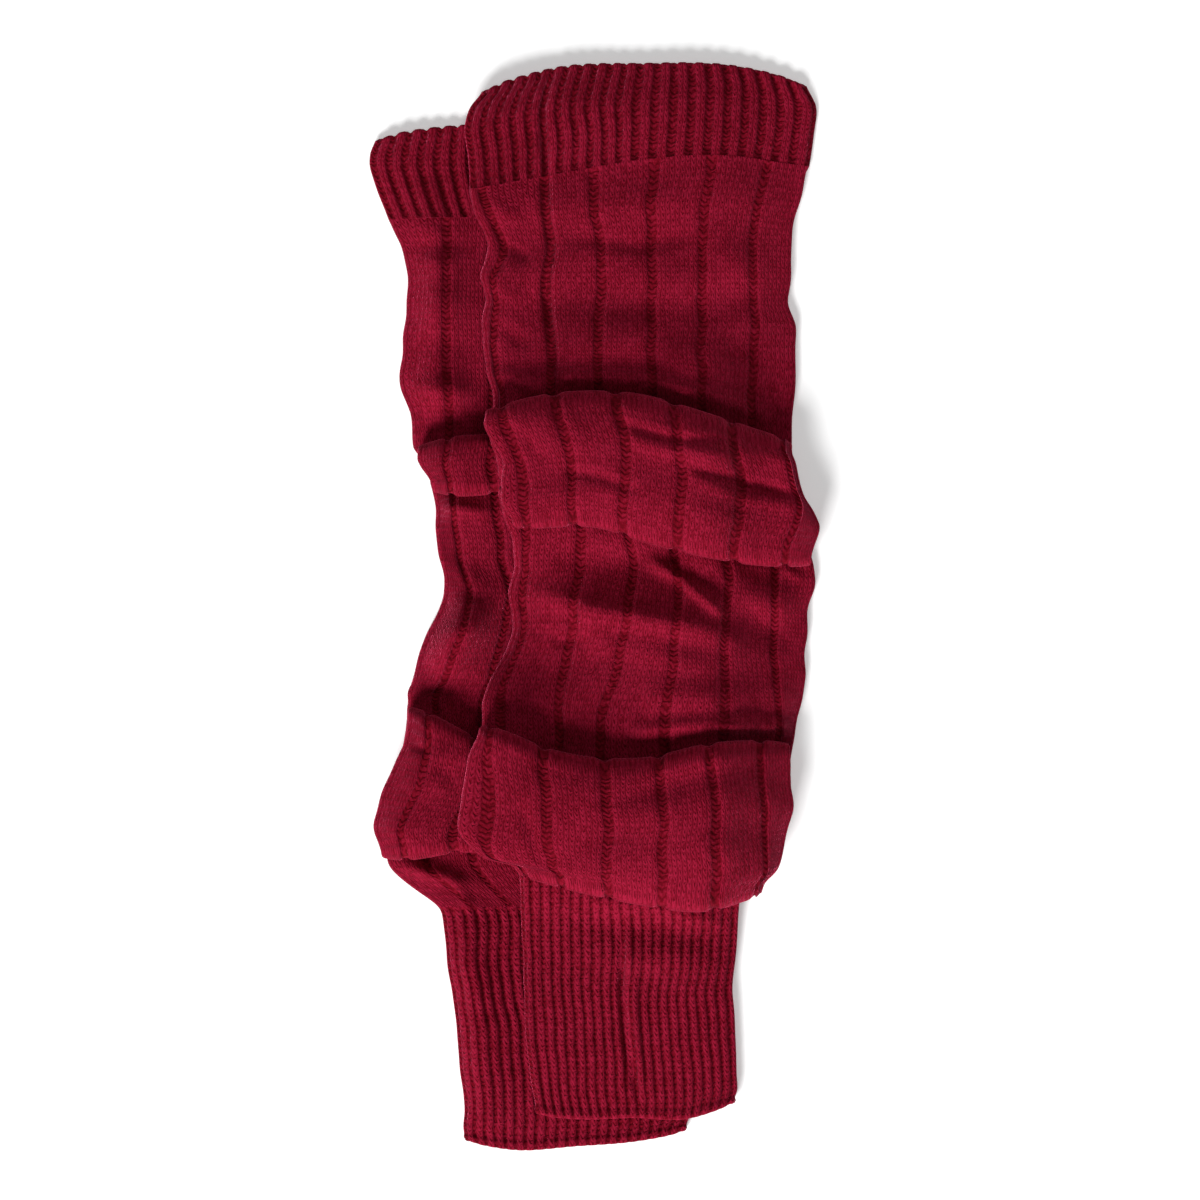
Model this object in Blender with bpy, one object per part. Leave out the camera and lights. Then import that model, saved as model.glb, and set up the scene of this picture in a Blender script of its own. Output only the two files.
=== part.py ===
"""A pair of slouched knit leg warmers, laid flat with one lying across the other.

Each leg warmer is a knitted tube pressed flat: two panels of cloth with a thin slit between
them, open at both mouths. It is made of three pieces that meet at seams, a ribbed top cuff,
a leg with wide ribs and a ribbed ankle cuff. The leg is longer than it lies: at two places
the flat tube doubles back on itself and forward again, so that a band of three layers stands
on the leg. X runs to the right and +Y towards the top cuffs, and +Z is up from the surface.
"""

import math
from collections import namedtuple

import bmesh
import bpy
import numpy as np

MM = 0.001

# Cloth, in millimetres
WALL = 1.8
SLIT = 0.4
LAYER_GAP = 0.8
SEAM_GAP = 0.3
REST_GAP = 0.3
FOOTPRINT_SHIFT = 0.68
HALF = WALL + SLIT / 2
TURN_RADIUS = HALF + LAYER_GAP / 2

# Knitted relief, in millimetres: the share of the panel's width where each groove runs, and
# each groove's profile as offsets from its middle with the share of its depth there
GROOVE_DEPTH = 0.6
LEG_GROOVES = [0.040 + 0.165 * count for count in range(6)]
LEG_GROOVE = ((-2.0, 0.0), (0.0, 1.0), (2.0, 0.0))
LEG_WIDTH = 126.0
TOP_CUFF_GROOVES = [0.046 + 0.0482 * count for count in range(20)]
TOP_CUFF_GROOVE = ((-1.6, 0.0), (-0.8, 1.0), (0.8, 1.0), (1.6, 0.0))
TOP_CUFF_WIDTH = 140.0
ANKLE_CUFF_GROOVES = [0.03 + 0.0410 * count for count in range(24)]
ANKLE_CUFF_GROOVE = ((0.0, 1.0),)
ANKLE_CUFF_WIDTH = 86.0
UNDER_LEG_GROOVES = 3
UNDER_TOP_CUFF_GROOVES = 9

# Mesh density: turns, the round edges, the longest run without a row in millimetres where the
# upper leg warmer bends over the lower one, and the places of the plain columns, which are
# closer where it bends down to the floor
EDGE_ARC_STEPS = 3
HIDDEN_ARC_STEPS = 2
OUTER_SIDE_STEPS = 2
INNER_SIDE_STEPS = 1
LONGEST_RUN = 15.0
OVER_PLAIN_PLACES = (0.0, 0.20, 0.37, 0.51, 0.60, 0.68, 0.76, 0.85, 0.93, 1.0)
UNDER_PLAIN_PLACES = (0.0, 0.15, 0.33, 0.67, 1.0)
ANKLE_RIBS_PER_LINING_COLUMN = 2
LEAST_COLUMN_STEP = 0.005
RING_END = 4.0

# How the upper leg warmer lies over the lower one, in millimetres
FIELD_CELL = 2.0
FIELD_HALF_SIZE = (130.0, 250.0)
FIELD_REACH_CELLS = (10, 8)
FIELD_BLUR_CELLS = (5, 4)
FIELD_COLUMNS = 110
FIELD_LONGEST_RUN = 1.2

# What a row of a table is: cloth lying along, or one of the four turns of a fold
LIE = "lie"
TUCK = "tuck under the band"
CREST = "upper edge of the band"
BROW = "lower edge of the band"
BACK = "back out of the band"

# Nose direction along Y, and whether the cloth climbs or drops a layer there
TURNS = {TUCK: (-1, 1), CREST: (1, 1), BROW: (-1, -1), BACK: (1, -1)}

# A row across the flat tube, in millimetres: its outer edges, its place along Y at the left
# edge, a quarter, half, three quarters and the right edge, how far the ribs drift to the
# right as a share of the width, and how far the top panel swells
Row = namedtuple("Row", "kind left right y_left y_quarter y_half y_three y_right drift puff")


def level_row(left, right, y, puff):
    """A row that runs straight across at one place along Y, its ribs where they were knitted."""
    return Row(LIE, left, right, y, y, y, y, y, 0.0, puff)


OVER_TOP_CUFF = [
    Row(LIE, -45.0, 83.5, 207.0, 214.8, 216.0, 215.6, 209.6, 0.0, 0.4),
    Row(LIE, -51.2, 87.6, 200.8, 209.6, 210.8, 210.4, 203.2, 0.0, 0.8),
    Row(LIE, -53.6, 88.4, 191.2, 200.4, 202.4, 202.4, 197.6, 0.0, 1.2),
    Row(LIE, -52.0, 87.2, 181.6, 186.4, 189.2, 190.4, 188.0, 0.0, 1.2),
    Row(LIE, -51.0, 85.6, 167.2, 173.0, 178.6, 180.6, 176.6, 0.0, 0.8),
]

OVER_LEG = [
    Row(LIE, -51.0, 85.6, 167.2, 173.0, 178.6, 180.6, 176.6, 0.0, 0.8),
    Row(LIE, -49.6, 81.0, 157.4, 158.0, 160.0, 161.0, 159.0, 0.0, 1.6),
    Row(LIE, -43.2, 79.4, 144.6, 144.8, 145.0, 145.0, 144.6, 0.0, 1.0),
    Row(LIE, -46.8, 78.6, 132.4, 132.4, 132.4, 132.4, 132.4, 0.0, 2.0),
    Row(LIE, -44.4, 77.2, 121.6, 121.6, 121.6, 121.6, 121.6, 0.0, 1.2),
    Row(LIE, -46.2, 81.2, 112.4, 112.4, 112.4, 112.4, 112.4, 0.0, 2.2),
    Row(LIE, -46.2, 81.2, 103.2, 103.2, 103.2, 102.0, 101.0, 0.0, 1.6),
    Row(LIE, -42.8, 79.6, 91.0, 93.0, 92.0, 86.0, 80.0, 0.0, 0.6),
    Row(LIE, -42.0, 78.8, 80.0, 82.0, 80.0, 73.0, 64.5, 0.0, 0.0),
    Row(TUCK, -39.6, 81.0, 50.4, 54.4, 50.4, 42.4, 37.6, 0.02, 0.0),
    Row(CREST, -44.0, 78.4, 80.4, 85.6, 84.4, 76.0, 67.2, 0.06, 2.0),
    Row(LIE, -45.6, 80.8, 72.4, 74.4, 72.4, 64.4, 58.0, 0.06, 3.2),
    Row(LIE, -37.6, 83.6, 56.4, 59.2, 54.4, 48.4, 43.2, 0.06, 2.4),
    Row(LIE, -38.0, 91.6, 41.6, 44.4, 38.4, 33.6, 31.2, 0.05, 3.2),
    Row(BROW, -33.6, 86.4, 29.2, 31.2, 23.2, 17.2, 14.4, 0.04, 2.0),
    Row(BACK, -38.8, 83.6, 48.4, 52.2, 48.2, 40.2, 35.4, 0.02, 0.0),
    Row(LIE, -35.6, 87.0, 32.0, 34.0, 27.0, 21.0, 18.0, 0.01, 0.0),
    Row(LIE, -34.4, 88.8, 22.4, 23.4, 15.8, 10.0, 7.6, 0.01, 1.0),
    Row(LIE, -32.8, 86.4, 14.4, 14.0, 7.0, 1.6, -0.8, 0.01, 1.8),
    Row(LIE, -35.6, 84.6, 3.6, 3.0, -3.0, -7.0, -9.6, 0.01, 1.2),
    Row(LIE, -33.0, 84.8, -9.0, -10.0, -13.0, -16.0, -18.4, 0.02, 1.8),
    Row(LIE, -38.8, 84.8, -21.6, -22.5, -24.0, -26.0, -27.6, 0.03, 1.4),
    Row(LIE, -44.4, 83.6, -32.8, -33.2, -34.2, -35.6, -36.2, 0.03, 1.6),
    Row(LIE, -46.0, 81.6, -40.8, -45.6, -46.6, -45.2, -44.4, 0.03, 0.6),
    Row(LIE, -46.0, 79.6, -50.0, -59.0, -61.0, -58.0, -56.0, 0.03, 0.0),
    Row(TUCK, -48.0, 77.2, -86.0, -90.0, -92.0, -90.0, -88.0, 0.04, 0.0),
    Row(CREST, -47.2, 78.0, -44.8, -57.6, -60.4, -54.4, -52.4, 0.05, 2.0),
    Row(LIE, -51.6, 78.8, -59.6, -70.4, -72.8, -68.8, -66.4, 0.05, 3.4),
    Row(LIE, -54.4, 79.2, -77.6, -83.6, -85.6, -83.6, -80.8, 0.05, 4.0),
    Row(LIE, -54.2, 76.4, -91.8, -96.8, -99.6, -98.4, -94.4, 0.05, 4.0),
    Row(LIE, -46.4, 73.6, -100.8, -104.8, -108.8, -109.6, -106.4, 0.05, 3.2),
    Row(BROW, -32.0, 66.8, -109.2, -114.4, -119.2, -122.0, -116.8, 0.04, 2.0),
    Row(BACK, -35.6, 65.2, -90.0, -92.4, -94.0, -92.4, -91.2, 0.02, 0.0),
    Row(LIE, -32.8, 61.2, -99.0, -100.0, -101.0, -100.0, -99.0, 0.0, 0.0),
    level_row(-31.2, 59.2, -106.0, 0.0),
]

OVER_ANKLE_CUFF = [
    level_row(-31.2, 59.2, -106.0, 0.0),
    level_row(-30.8, 58.4, -114.5, 0.0),
    level_row(-30.4, 57.6, -124.0, 0.3),
    level_row(-29.6, 56.0, -141.6, 1.2),
    level_row(-29.4, 55.2, -155.0, 1.2),
    level_row(-28.8, 56.0, -170.0, 1.0),
    level_row(-27.2, 56.8, -186.0, 1.0),
    Row(LIE, -25.6, 57.2, -197.0, -198.6, -198.6, -198.4, -194.8, 0.0, 0.8),
    Row(LIE, -24.0, 54.6, -203.6, -204.8, -204.2, -204.8, -199.8, 0.0, 0.4),
]

UNDER_TOP_CUFF = [
    Row(LIE, -88.4, 43.6, 187.6, 191.2, 191.2, 190.8, 187.6, 0.0, 0.4),
    Row(LIE, -91.2, 45.6, 183.4, 186.4, 186.4, 186.4, 183.6, 0.0, 0.8),
    level_row(-91.6, 46.0, 176.6, 1.2),
    level_row(-88.4, 43.6, 166.8, 1.2),
    Row(LIE, -84.0, 40.8, 155.2, 156.0, 156.0, 156.0, 155.2, 0.0, 0.8),
]

UNDER_LEG = [
    Row(LIE, -84.0, 40.8, 155.2, 156.0, 156.0, 156.0, 155.2, 0.0, 0.8),
    level_row(-78.8, 38.8, 145.6, 1.4),
    level_row(-76.4, 38.0, 134.0, 1.0),
    level_row(-76.8, 38.0, 118.4, 1.4),
    level_row(-78.4, 37.2, 102.4, 1.2),
    level_row(-79.6, 37.2, 87.0, 2.4),
    level_row(-75.2, 36.4, 77.2, 0.8),
    Row(LIE, -73.2, 36.4, 63.5, 67.6, 68.0, 67.2, 65.8, 0.0, 0.0),
    Row(TUCK, -71.6, 37.2, 55.6, 56.4, 56.4, 56.4, 55.6, 0.0, 0.0),
    Row(CREST, -72.0, 37.2, 66.0, 70.0, 70.4, 69.6, 68.0, 0.0, 1.6),
    Row(LIE, -71.2, 38.8, 57.2, 58.0, 58.0, 57.8, 57.2, 0.0, 2.6),
    Row(BROW, -66.4, 37.2, 44.0, 43.6, 43.6, 43.6, 43.0, 0.0, 1.6),
    Row(BACK, -67.6, 37.2, 54.6, 55.2, 55.2, 55.2, 54.6, 0.0, 0.0),
    level_row(-65.6, 37.2, 47.2, 0.0),
    level_row(-65.2, 37.2, 40.8, 2.0),
    level_row(-64.8, 37.2, 33.0, 0.8),
    level_row(-64.0, 37.2, 20.8, 1.0),
    level_row(-61.2, 38.0, 4.0, 1.4),
    level_row(-66.0, 38.0, -8.0, 1.4),
    level_row(-72.4, 38.0, -18.8, 2.4),
    level_row(-75.6, 37.2, -31.6, 1.0),
    Row(LIE, -75.6, 37.2, -42.0, -53.0, -57.0, -55.0, -51.0, 0.0, 0.0),
    Row(TUCK, -80.4, 38.0, -73.6, -75.0, -76.0, -75.0, -74.0, 0.0, 0.0),
    Row(CREST, -76.0, 37.2, -39.2, -51.6, -55.6, -53.6, -49.6, 0.0, 1.6),
    Row(LIE, -78.0, 38.8, -56.0, -62.0, -66.0, -64.0, -60.0, 0.0, 2.6),
    Row(LIE, -86.0, 40.4, -74.0, -78.0, -80.0, -79.0, -76.0, -0.02, 3.2),
    Row(LIE, -90.4, 40.4, -88.6, -90.0, -91.0, -91.0, -90.0, -0.03, 3.2),
    Row(BROW, -86.8, 38.0, -101.2, -100.0, -101.6, -103.2, -101.6, -0.02, 2.0),
    Row(BACK, -83.6, 37.2, -74.8, -76.2, -77.2, -76.2, -75.2, 0.0, 0.0),
    level_row(-84.8, 37.2, -96.0, 0.0),
    level_row(-84.0, 36.4, -104.8, 0.6),
    level_row(-78.8, 35.6, -110.0, 0.8),
    level_row(-71.2, 34.8, -115.2, 0.8),
    level_row(-62.8, 34.0, -120.8, 0.6),
]

UNDER_ANKLE_CUFF = [
    level_row(-62.8, 34.0, -120.8, 0.6),
    level_row(-61.2, 34.4, -132.8, 1.0),
    level_row(-59.2, 34.4, -150.0, 1.2),
    level_row(-56.4, 34.8, -170.0, 1.0),
    level_row(-54.8, 36.0, -188.0, 1.0),
    level_row(-53.2, 37.2, -203.0, 1.0),
    Row(LIE, -54.4, 37.6, -210.4, -212.0, -211.0, -209.6, -206.6, 0.0, 0.8),
    Row(LIE, -52.0, 35.2, -215.0, -217.6, -216.0, -214.4, -211.0, 0.0, 0.4),
]

# A ring of the tube: its outer edges, its five places along Y, the height of the middle of
# the cloth, the lean of the cloth, and the row's drift and swell
Stop = namedtuple("Stop", "left right places height lean drift swell")

Knit = namedtuple("Knit", "color roughness")
WIDE_RIB_KNIT = Knit((0.160, 0.0056, 0.0160, 1.0), 0.95)
PLAIN_KNIT = Knit((0.150, 0.0052, 0.0145, 1.0), 0.95)
FINE_RIB_KNIT = Knit((0.145, 0.0052, 0.0148, 1.0), 0.95)


def smooth_between(values, places):
    """Read a smooth curve through evenly spaced values in each row, at places from 0 to 1."""
    values = np.asarray(values, dtype=float)
    places = np.broadcast_to(places, (len(values), np.shape(places)[-1]))
    slopes = np.gradient(values, axis=1)
    last = values.shape[1] - 1
    position = np.clip(places, 0.0, 1.0) * last
    index = np.minimum(position.astype(int), last - 1)
    step = position - index
    start = np.take_along_axis(values, index, axis=1)
    end = np.take_along_axis(values, index + 1, axis=1)
    start_slope = np.take_along_axis(slopes, index, axis=1)
    end_slope = np.take_along_axis(slopes, index + 1, axis=1)
    square = step ** 2
    cube = step ** 3
    return ((2 * cube - 3 * square + 1) * start + (cube - 2 * square + step) * start_slope
            + (3 * square - 2 * cube) * end + (cube - square) * end_slope)


def stops_along(table):
    """Follow the flat tube down its table, and go round each turn in equal angles."""
    stops = []
    height = HALF
    for row in table:
        places = np.array([row.y_left, row.y_quarter, row.y_half, row.y_three, row.y_right])
        if row.kind == LIE:
            stops.append(Stop(row.left, row.right, places, height, 0.0, row.drift, row.puff))
            continue
        nose, climb = TURNS[row.kind]
        centre = places - nose * (TURN_RADIUS + HALF + row.puff / 2)
        arc_steps = EDGE_ARC_STEPS if row.kind in (CREST, BROW) else HIDDEN_ARC_STEPS
        for angle in np.linspace(0.0, math.pi, arc_steps + 1):
            along = centre + nose * TURN_RADIUS * math.sin(angle)
            level = height + climb * TURN_RADIUS * (1.0 - math.cos(angle))
            lean = climb * (angle if nose < 0 else math.pi - angle)
            swell = row.puff * (1.0 - climb * math.cos(angle)) / 2
            stops.append(Stop(row.left, row.right, along, level, lean, row.drift, swell))
        height += climb * 2 * TURN_RADIUS
    return stops


def with_longest_run(stops, longest):
    """Blend rows in wherever the cloth would run further than this without one."""
    finer = []
    for start, end in zip(stops, stops[1:]):
        run = np.max(np.abs(end.places - start.places))
        steps = max(1, math.ceil(run / longest))
        for share in np.arange(steps) / steps:
            finer.append(Stop(*(first + (second - first) * share
                                for first, second in zip(start, end))))
    finer.append(stops[-1])
    return finer


def groove_columns(grooves, profile, width, between):
    """Places across a panel for its grooves, with the depth of each place."""
    places = [0.0]
    depths = [0.0]
    for count, groove in enumerate(grooves):
        if between and count > 0:
            places.append((groove + grooves[count - 1]) / 2)
            depths.append(0.0)
        for offset, share in profile:
            places.append(groove + offset / width)
            depths.append(share * GROOVE_DEPTH)
    if between:
        places.append((grooves[-1] + 1.0) / 2)
        depths.append(0.0)
    return places, depths


def places_under_ribs(grooves, every):
    """Places across the inside of a ribbed panel: its edges, and under the middles of ribs.

    One more lies between the edge and the first groove, so that the rim at a mouth follows
    the groove.
    """
    middles = [(left + right) / 2 for left, right in zip(grooves, grooves[1:])]
    return [0.0, grooves[0] / 2] + middles[::every] + [1.0]


def closed_columns(places, depths, plain_places):
    """The columns with plain ones added from the last groove to the right edge."""
    tail = [place for place in plain_places if place > places[-1] + LEAST_COLUMN_STEP]
    return np.concatenate([places, tail]), np.concatenate([depths, np.zeros(len(tail))])


# One ring of the tube, as arrays: share of the way across, half-round reach beyond the flat
# part, side of the middle of the cloth, 1 on the top panel, groove depth, and order round it
Ring = namedtuple("Ring", "across reach side top depth order")


def ring_of(top_places, top_depths, floor_places, side_steps):
    """Go round a flat tube: the top panel, the right edge, the underside, the left edge."""
    top_count = len(top_places)
    angles = np.linspace(math.pi / 2, -math.pi / 2, side_steps + 2)[1:-1]
    floor = np.array(floor_places)[::-1]
    flat = np.zeros(len(floor))
    count = len(angles)
    across = np.concatenate([top_places, np.ones(count), floor, np.zeros(count)])
    reach = np.concatenate([np.zeros(top_count), np.cos(angles), flat, -np.cos(angles)])
    side = np.concatenate([np.ones(top_count), np.sin(angles), flat - 1.0, -np.sin(angles)])
    plain = np.zeros(2 * count + len(floor))
    top = np.concatenate([np.ones(top_count), plain])
    depth = np.concatenate([top_depths, plain])
    edge = (np.arange(count) + 1.0) / (count + 1.0)
    order = np.concatenate([top_places, 1.0 + edge, 3.0 - floor, 3.0 + edge])
    return Ring(across, reach, side, top, depth, order)


def wall_points(stops, ring, half, inset, plain_ends=False):
    """Points of one face of the cloth, ring by ring.

    A point stands at its share of the flat width, moved off the middle of the cloth by half
    the cloth's thickness along the cloth's lean. The top panel also swells, most in its
    middle, and its grooves cut into it, fading out at the first and last ring where the ends
    are plain.
    """
    left = np.array([stop.left for stop in stops])[:, None] + inset + half
    right = np.array([stop.right for stop in stops])[:, None] - inset - half
    lean = np.array([stop.lean for stop in stops])[:, None]
    drift = np.array([stop.drift for stop in stops])[:, None]
    swell = np.array([stop.swell for stop in stops])[:, None]
    height = np.array([stop.height for stop in stops])[:, None]
    across = ring.across[None, :]
    shifted = across + drift * (1.0 - (2.0 * across - 1.0) ** 4)
    bulge = 1.0 - (2.0 * across - 1.0) ** 4
    grooved = np.ones((len(stops), 1))
    if plain_ends:
        grooved[[0, -1]] = 0.0
    offset = half * ring.side + ring.top * (swell * bulge - ring.depth * grooved)
    x = left + shifted * (right - left) + half * ring.reach
    y = smooth_between([stop.places for stop in stops], shifted) + np.sin(lean) * offset
    z = height + np.cos(lean) * offset
    return np.stack([x, y + FOOTPRINT_SHIFT, z], axis=-1)


def resting_field(tables):
    """Height at which cloth rests on these leg warmer pieces, on an even grid.

    The highest point in each cell is spread outwards by the reach along Y and X, then
    averaged twice over half that window, so that the result is smooth and nowhere lower than
    the cloth beneath.
    """
    half_x, half_y = FIELD_HALF_SIZE
    columns = int(2 * half_x / FIELD_CELL)
    rows = int(2 * half_y / FIELD_CELL)
    field = np.zeros((rows, columns))
    plain = np.linspace(0.0, 1.0, FIELD_COLUMNS)
    ring = ring_of(plain, np.zeros(FIELD_COLUMNS), UNDER_PLAIN_PLACES, OUTER_SIDE_STEPS)
    for table in tables:
        stops = with_longest_run(stops_along(table), FIELD_LONGEST_RUN)
        points = wall_points(stops, ring, HALF, 0.0).reshape(-1, 3)
        column = ((points[:, 0] + half_x) / FIELD_CELL).astype(int)
        row = ((points[:, 1] + half_y) / FIELD_CELL).astype(int)
        np.maximum.at(field, (row, column), points[:, 2] + REST_GAP)
    for axis, reach in enumerate(FIELD_REACH_CELLS):
        shifts = range(-reach, reach + 1)
        field = np.max([np.roll(field, shift, axis=axis) for shift in shifts], axis=0)
    for axis, blur in enumerate(FIELD_BLUR_CELLS * 2):
        shifts = range(-blur, blur + 1)
        field = np.mean([np.roll(field, shift, axis=axis % 2) for shift in shifts], axis=0)
    return field


def field_height(field, x, y):
    """Read the resting field between its cell centres."""
    half_x, half_y = FIELD_HALF_SIZE
    column = (x + half_x) / FIELD_CELL - 0.5
    row = (y + half_y) / FIELD_CELL - 0.5
    left = np.floor(column).astype(int)
    low = np.floor(row).astype(int)
    across = column - left
    up = row - low
    lower = field[low, left] * (1 - across) + field[low, left + 1] * across
    upper = field[low + 1, left] * (1 - across) + field[low + 1, left + 1] * across
    return lower * (1 - up) + upper * up


def add_skin(bm, points):
    """Add the quads between neighbouring rings of points, and return the rings' vertices."""
    rings = [[bm.verts.new(point) for point in ring] for ring in points * MM]
    for ring, following in zip(rings, rings[1:]):
        for here, there in zip(range(-1, len(ring) - 1), range(len(ring))):
            bm.faces.new((ring[here], ring[there], following[there], following[here]))
    return rings


def add_rim(bm, outer, outer_order, inner, inner_order):
    """Close a mouth's edge: each edge of one ring joins the nearest point of the other."""
    outer_middles = (outer_order + np.append(outer_order[1:], RING_END)) / 2
    inner_middles = (inner_order + np.append(inner_order[1:], RING_END)) / 2
    edges = [(middle, True, place) for place, middle in enumerate(outer_middles)]
    edges += [(middle, False, place) for place, middle in enumerate(inner_middles)]
    here = 0
    there = 0
    for middle, on_outer, place in sorted(edges):
        outer_point = outer[here % len(outer)]
        inner_point = inner[there % len(inner)]
        if on_outer:
            here += 1
            bm.faces.new((outer_point, outer[here % len(outer)], inner_point))
        else:
            there += 1
            bm.faces.new((outer_point, inner[there % len(inner)], inner_point))


def build_tube(name, table, columns, linings, knit, collection, field=None):
    """Make one piece of a leg warmer, a cloth wall all round a thin slit, open at both ends.

    A leg and an ankle cuff start a seam's gap below the piece above them.
    """
    stops = stops_along(table)
    if "top_cuff" not in name:
        stops[0] = stops[0]._replace(places=stops[0].places - SEAM_GAP)
    if field is not None:
        stops = with_longest_run(stops, LONGEST_RUN)
    plain_places, lining_places = linings
    outer_ring = ring_of(*columns, plain_places, OUTER_SIDE_STEPS)
    inner_ring = ring_of(lining_places, np.zeros(len(lining_places)), plain_places,
                         INNER_SIDE_STEPS)
    outer = wall_points(stops, outer_ring, HALF, 0.0, plain_ends="leg" in name)
    inner = wall_points(stops, inner_ring, SLIT / 2, WALL)
    if field is not None:
        for points in (outer, inner):
            points[..., 2] += field_height(field, points[..., 0], points[..., 1])
    bm = bmesh.new()
    outer_rings = add_skin(bm, outer)
    inner_rings = add_skin(bm, inner)
    for end in (0, -1):
        add_rim(bm, outer_rings[end], outer_ring.order, inner_rings[end], inner_ring.order)
    bmesh.ops.recalc_face_normals(bm, faces=bm.faces)
    if bm.calc_volume(signed=True) < 0:
        bmesh.ops.reverse_faces(bm, faces=bm.faces)
    bmesh.ops.triangulate(bm, faces=bm.faces)
    mesh = bpy.data.meshes.new(name)
    bm.to_mesh(mesh)
    bm.free()
    mesh.shade_smooth()
    piece = bpy.data.objects.new(name, mesh)
    piece.data.materials.append(knit_material(name, knit))
    collection.objects.link(piece)
    return piece


def knit_material(name, knit):
    """A matte wool-like finish for one piece."""
    material = bpy.data.materials.new(name)
    material.use_nodes = True
    shader = material.node_tree.nodes["Principled BSDF"]
    shader.inputs["Base Color"].default_value = knit.color
    shader.inputs["Roughness"].default_value = knit.roughness
    shader.inputs["Metallic"].default_value = 0.0
    material.diffuse_color = knit.color
    return material


def clear_scene():
    """Remove whatever the file opened with."""
    for item in list(bpy.data.objects):
        bpy.data.objects.remove(item, do_unlink=True)


def build_pair():
    """Build the lower leg warmer, then the upper one lying over it."""
    collection = bpy.data.collections.new("leg_warmers")
    bpy.context.scene.collection.children.link(collection)

    top = groove_columns(TOP_CUFF_GROOVES, TOP_CUFF_GROOVE, TOP_CUFF_WIDTH, False)
    leg = groove_columns(LEG_GROOVES, LEG_GROOVE, LEG_WIDTH, True)
    ankle = groove_columns(ANKLE_CUFF_GROOVES, ANKLE_CUFF_GROOVE, ANKLE_CUFF_WIDTH, True)
    under_top = groove_columns(
        TOP_CUFF_GROOVES[:UNDER_TOP_CUFF_GROOVES], TOP_CUFF_GROOVE, TOP_CUFF_WIDTH, False)
    under_leg = groove_columns(LEG_GROOVES[:UNDER_LEG_GROOVES], LEG_GROOVE, LEG_WIDTH, False)
    top_lining = places_under_ribs(TOP_CUFF_GROOVES, 1)
    ankle_lining = places_under_ribs(ANKLE_CUFF_GROOVES, ANKLE_RIBS_PER_LINING_COLUMN)

    under = UNDER_PLAIN_PLACES
    build_tube("under_top_cuff", UNDER_TOP_CUFF, closed_columns(*under_top, under),
               (under, top_lining), WIDE_RIB_KNIT, collection)
    build_tube("under_leg", UNDER_LEG, closed_columns(*under_leg, under),
               (under, under), PLAIN_KNIT, collection)
    build_tube("under_ankle_cuff", UNDER_ANKLE_CUFF, closed_columns(*ankle, under),
               (under, ankle_lining), FINE_RIB_KNIT, collection)

    field = resting_field([UNDER_TOP_CUFF, UNDER_LEG, UNDER_ANKLE_CUFF])
    over = OVER_PLAIN_PLACES
    build_tube("over_top_cuff", OVER_TOP_CUFF, closed_columns(*top, over),
               (over, top_lining), WIDE_RIB_KNIT, collection, field)
    build_tube("over_leg", OVER_LEG, closed_columns(*leg, over),
               (over, over), PLAIN_KNIT, collection, field)
    build_tube("over_ankle_cuff", OVER_ANKLE_CUFF, closed_columns(*ankle, over),
               (over, ankle_lining), FINE_RIB_KNIT, collection, field)


clear_scene()
build_pair()
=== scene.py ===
"""Dress the pair of slouched knit leg warmers that lie flat, one across the other.

Each leg warmer is one flat knitted tube, followed from its top cuff over its folds down to its
ankle. The followed tube is cut at its seams into a top cuff, a leg and an ankle cuff, and each of
these becomes one fine closed cloth surface in the place of its plain solid. Sizes are in
millimetres until a mesh is made. X runs to the right, +Y towards the top cuffs and +Z up.
"""

import logging
import math
from dataclasses import dataclass, field, replace
from enum import Enum, IntEnum

import bmesh
import bpy
import numpy as np
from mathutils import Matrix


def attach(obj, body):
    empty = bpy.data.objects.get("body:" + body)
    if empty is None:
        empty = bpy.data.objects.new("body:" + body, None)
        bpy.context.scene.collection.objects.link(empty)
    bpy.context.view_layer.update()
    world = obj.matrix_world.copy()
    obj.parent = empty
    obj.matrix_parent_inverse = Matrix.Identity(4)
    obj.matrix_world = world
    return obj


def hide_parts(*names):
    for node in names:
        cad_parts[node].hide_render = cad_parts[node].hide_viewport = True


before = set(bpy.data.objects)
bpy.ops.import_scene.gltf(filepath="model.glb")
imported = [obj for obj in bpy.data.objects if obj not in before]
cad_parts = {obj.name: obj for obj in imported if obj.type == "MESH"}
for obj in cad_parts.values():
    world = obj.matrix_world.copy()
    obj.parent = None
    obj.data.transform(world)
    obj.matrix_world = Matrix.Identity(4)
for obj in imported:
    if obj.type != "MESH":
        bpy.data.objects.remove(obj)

LOG = logging.getLogger("leg_warmers")
MM = 0.001

# Where the photograph's pixels lie on the surface: millimetres to a pixel, and the pixel that
# is over the origin
PIXEL = 0.4
PIXEL_AT_ORIGIN = (597.0, 606.0)
FOOTPRINT_SHIFT = 0.68

# The cloth: its wall, the slit between a tube's two panels, the gaps between layers and over
# the lower leg warmer, half a flat tube's thickness, and the length of one course of stitches
WALL = 1.8
SLIT = 0.4
LAYER_GAP = 0.8
REST_GAP = 0.3
HALF = WALL + SLIT / 2
TURN_RADIUS = HALF + LAYER_GAP / 2
COURSE = 2.2

# Channels in a leg, columns of the plain surface that cloth rests on, shares of a width, and
# the floor's and the sky's white
CHANNEL_COUNT = 6
PLAIN_COLUMNS = 110
ENDS = (0.0, 1.0)
QUARTERS = (0.0, 0.25, 0.5, 0.75, 1.0)
WHITE = (1.0, 1.0, 1.0, 1.0)

# The columns of a line that follows a tube, after its left and its right edge
PLACES = slice(2, 7)
HEIGHT, LEAN, SWELL, STRETCH, TURN = range(7, 12)
NO_TURN = -1

Socket = bpy.types.NodeSocket


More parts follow.
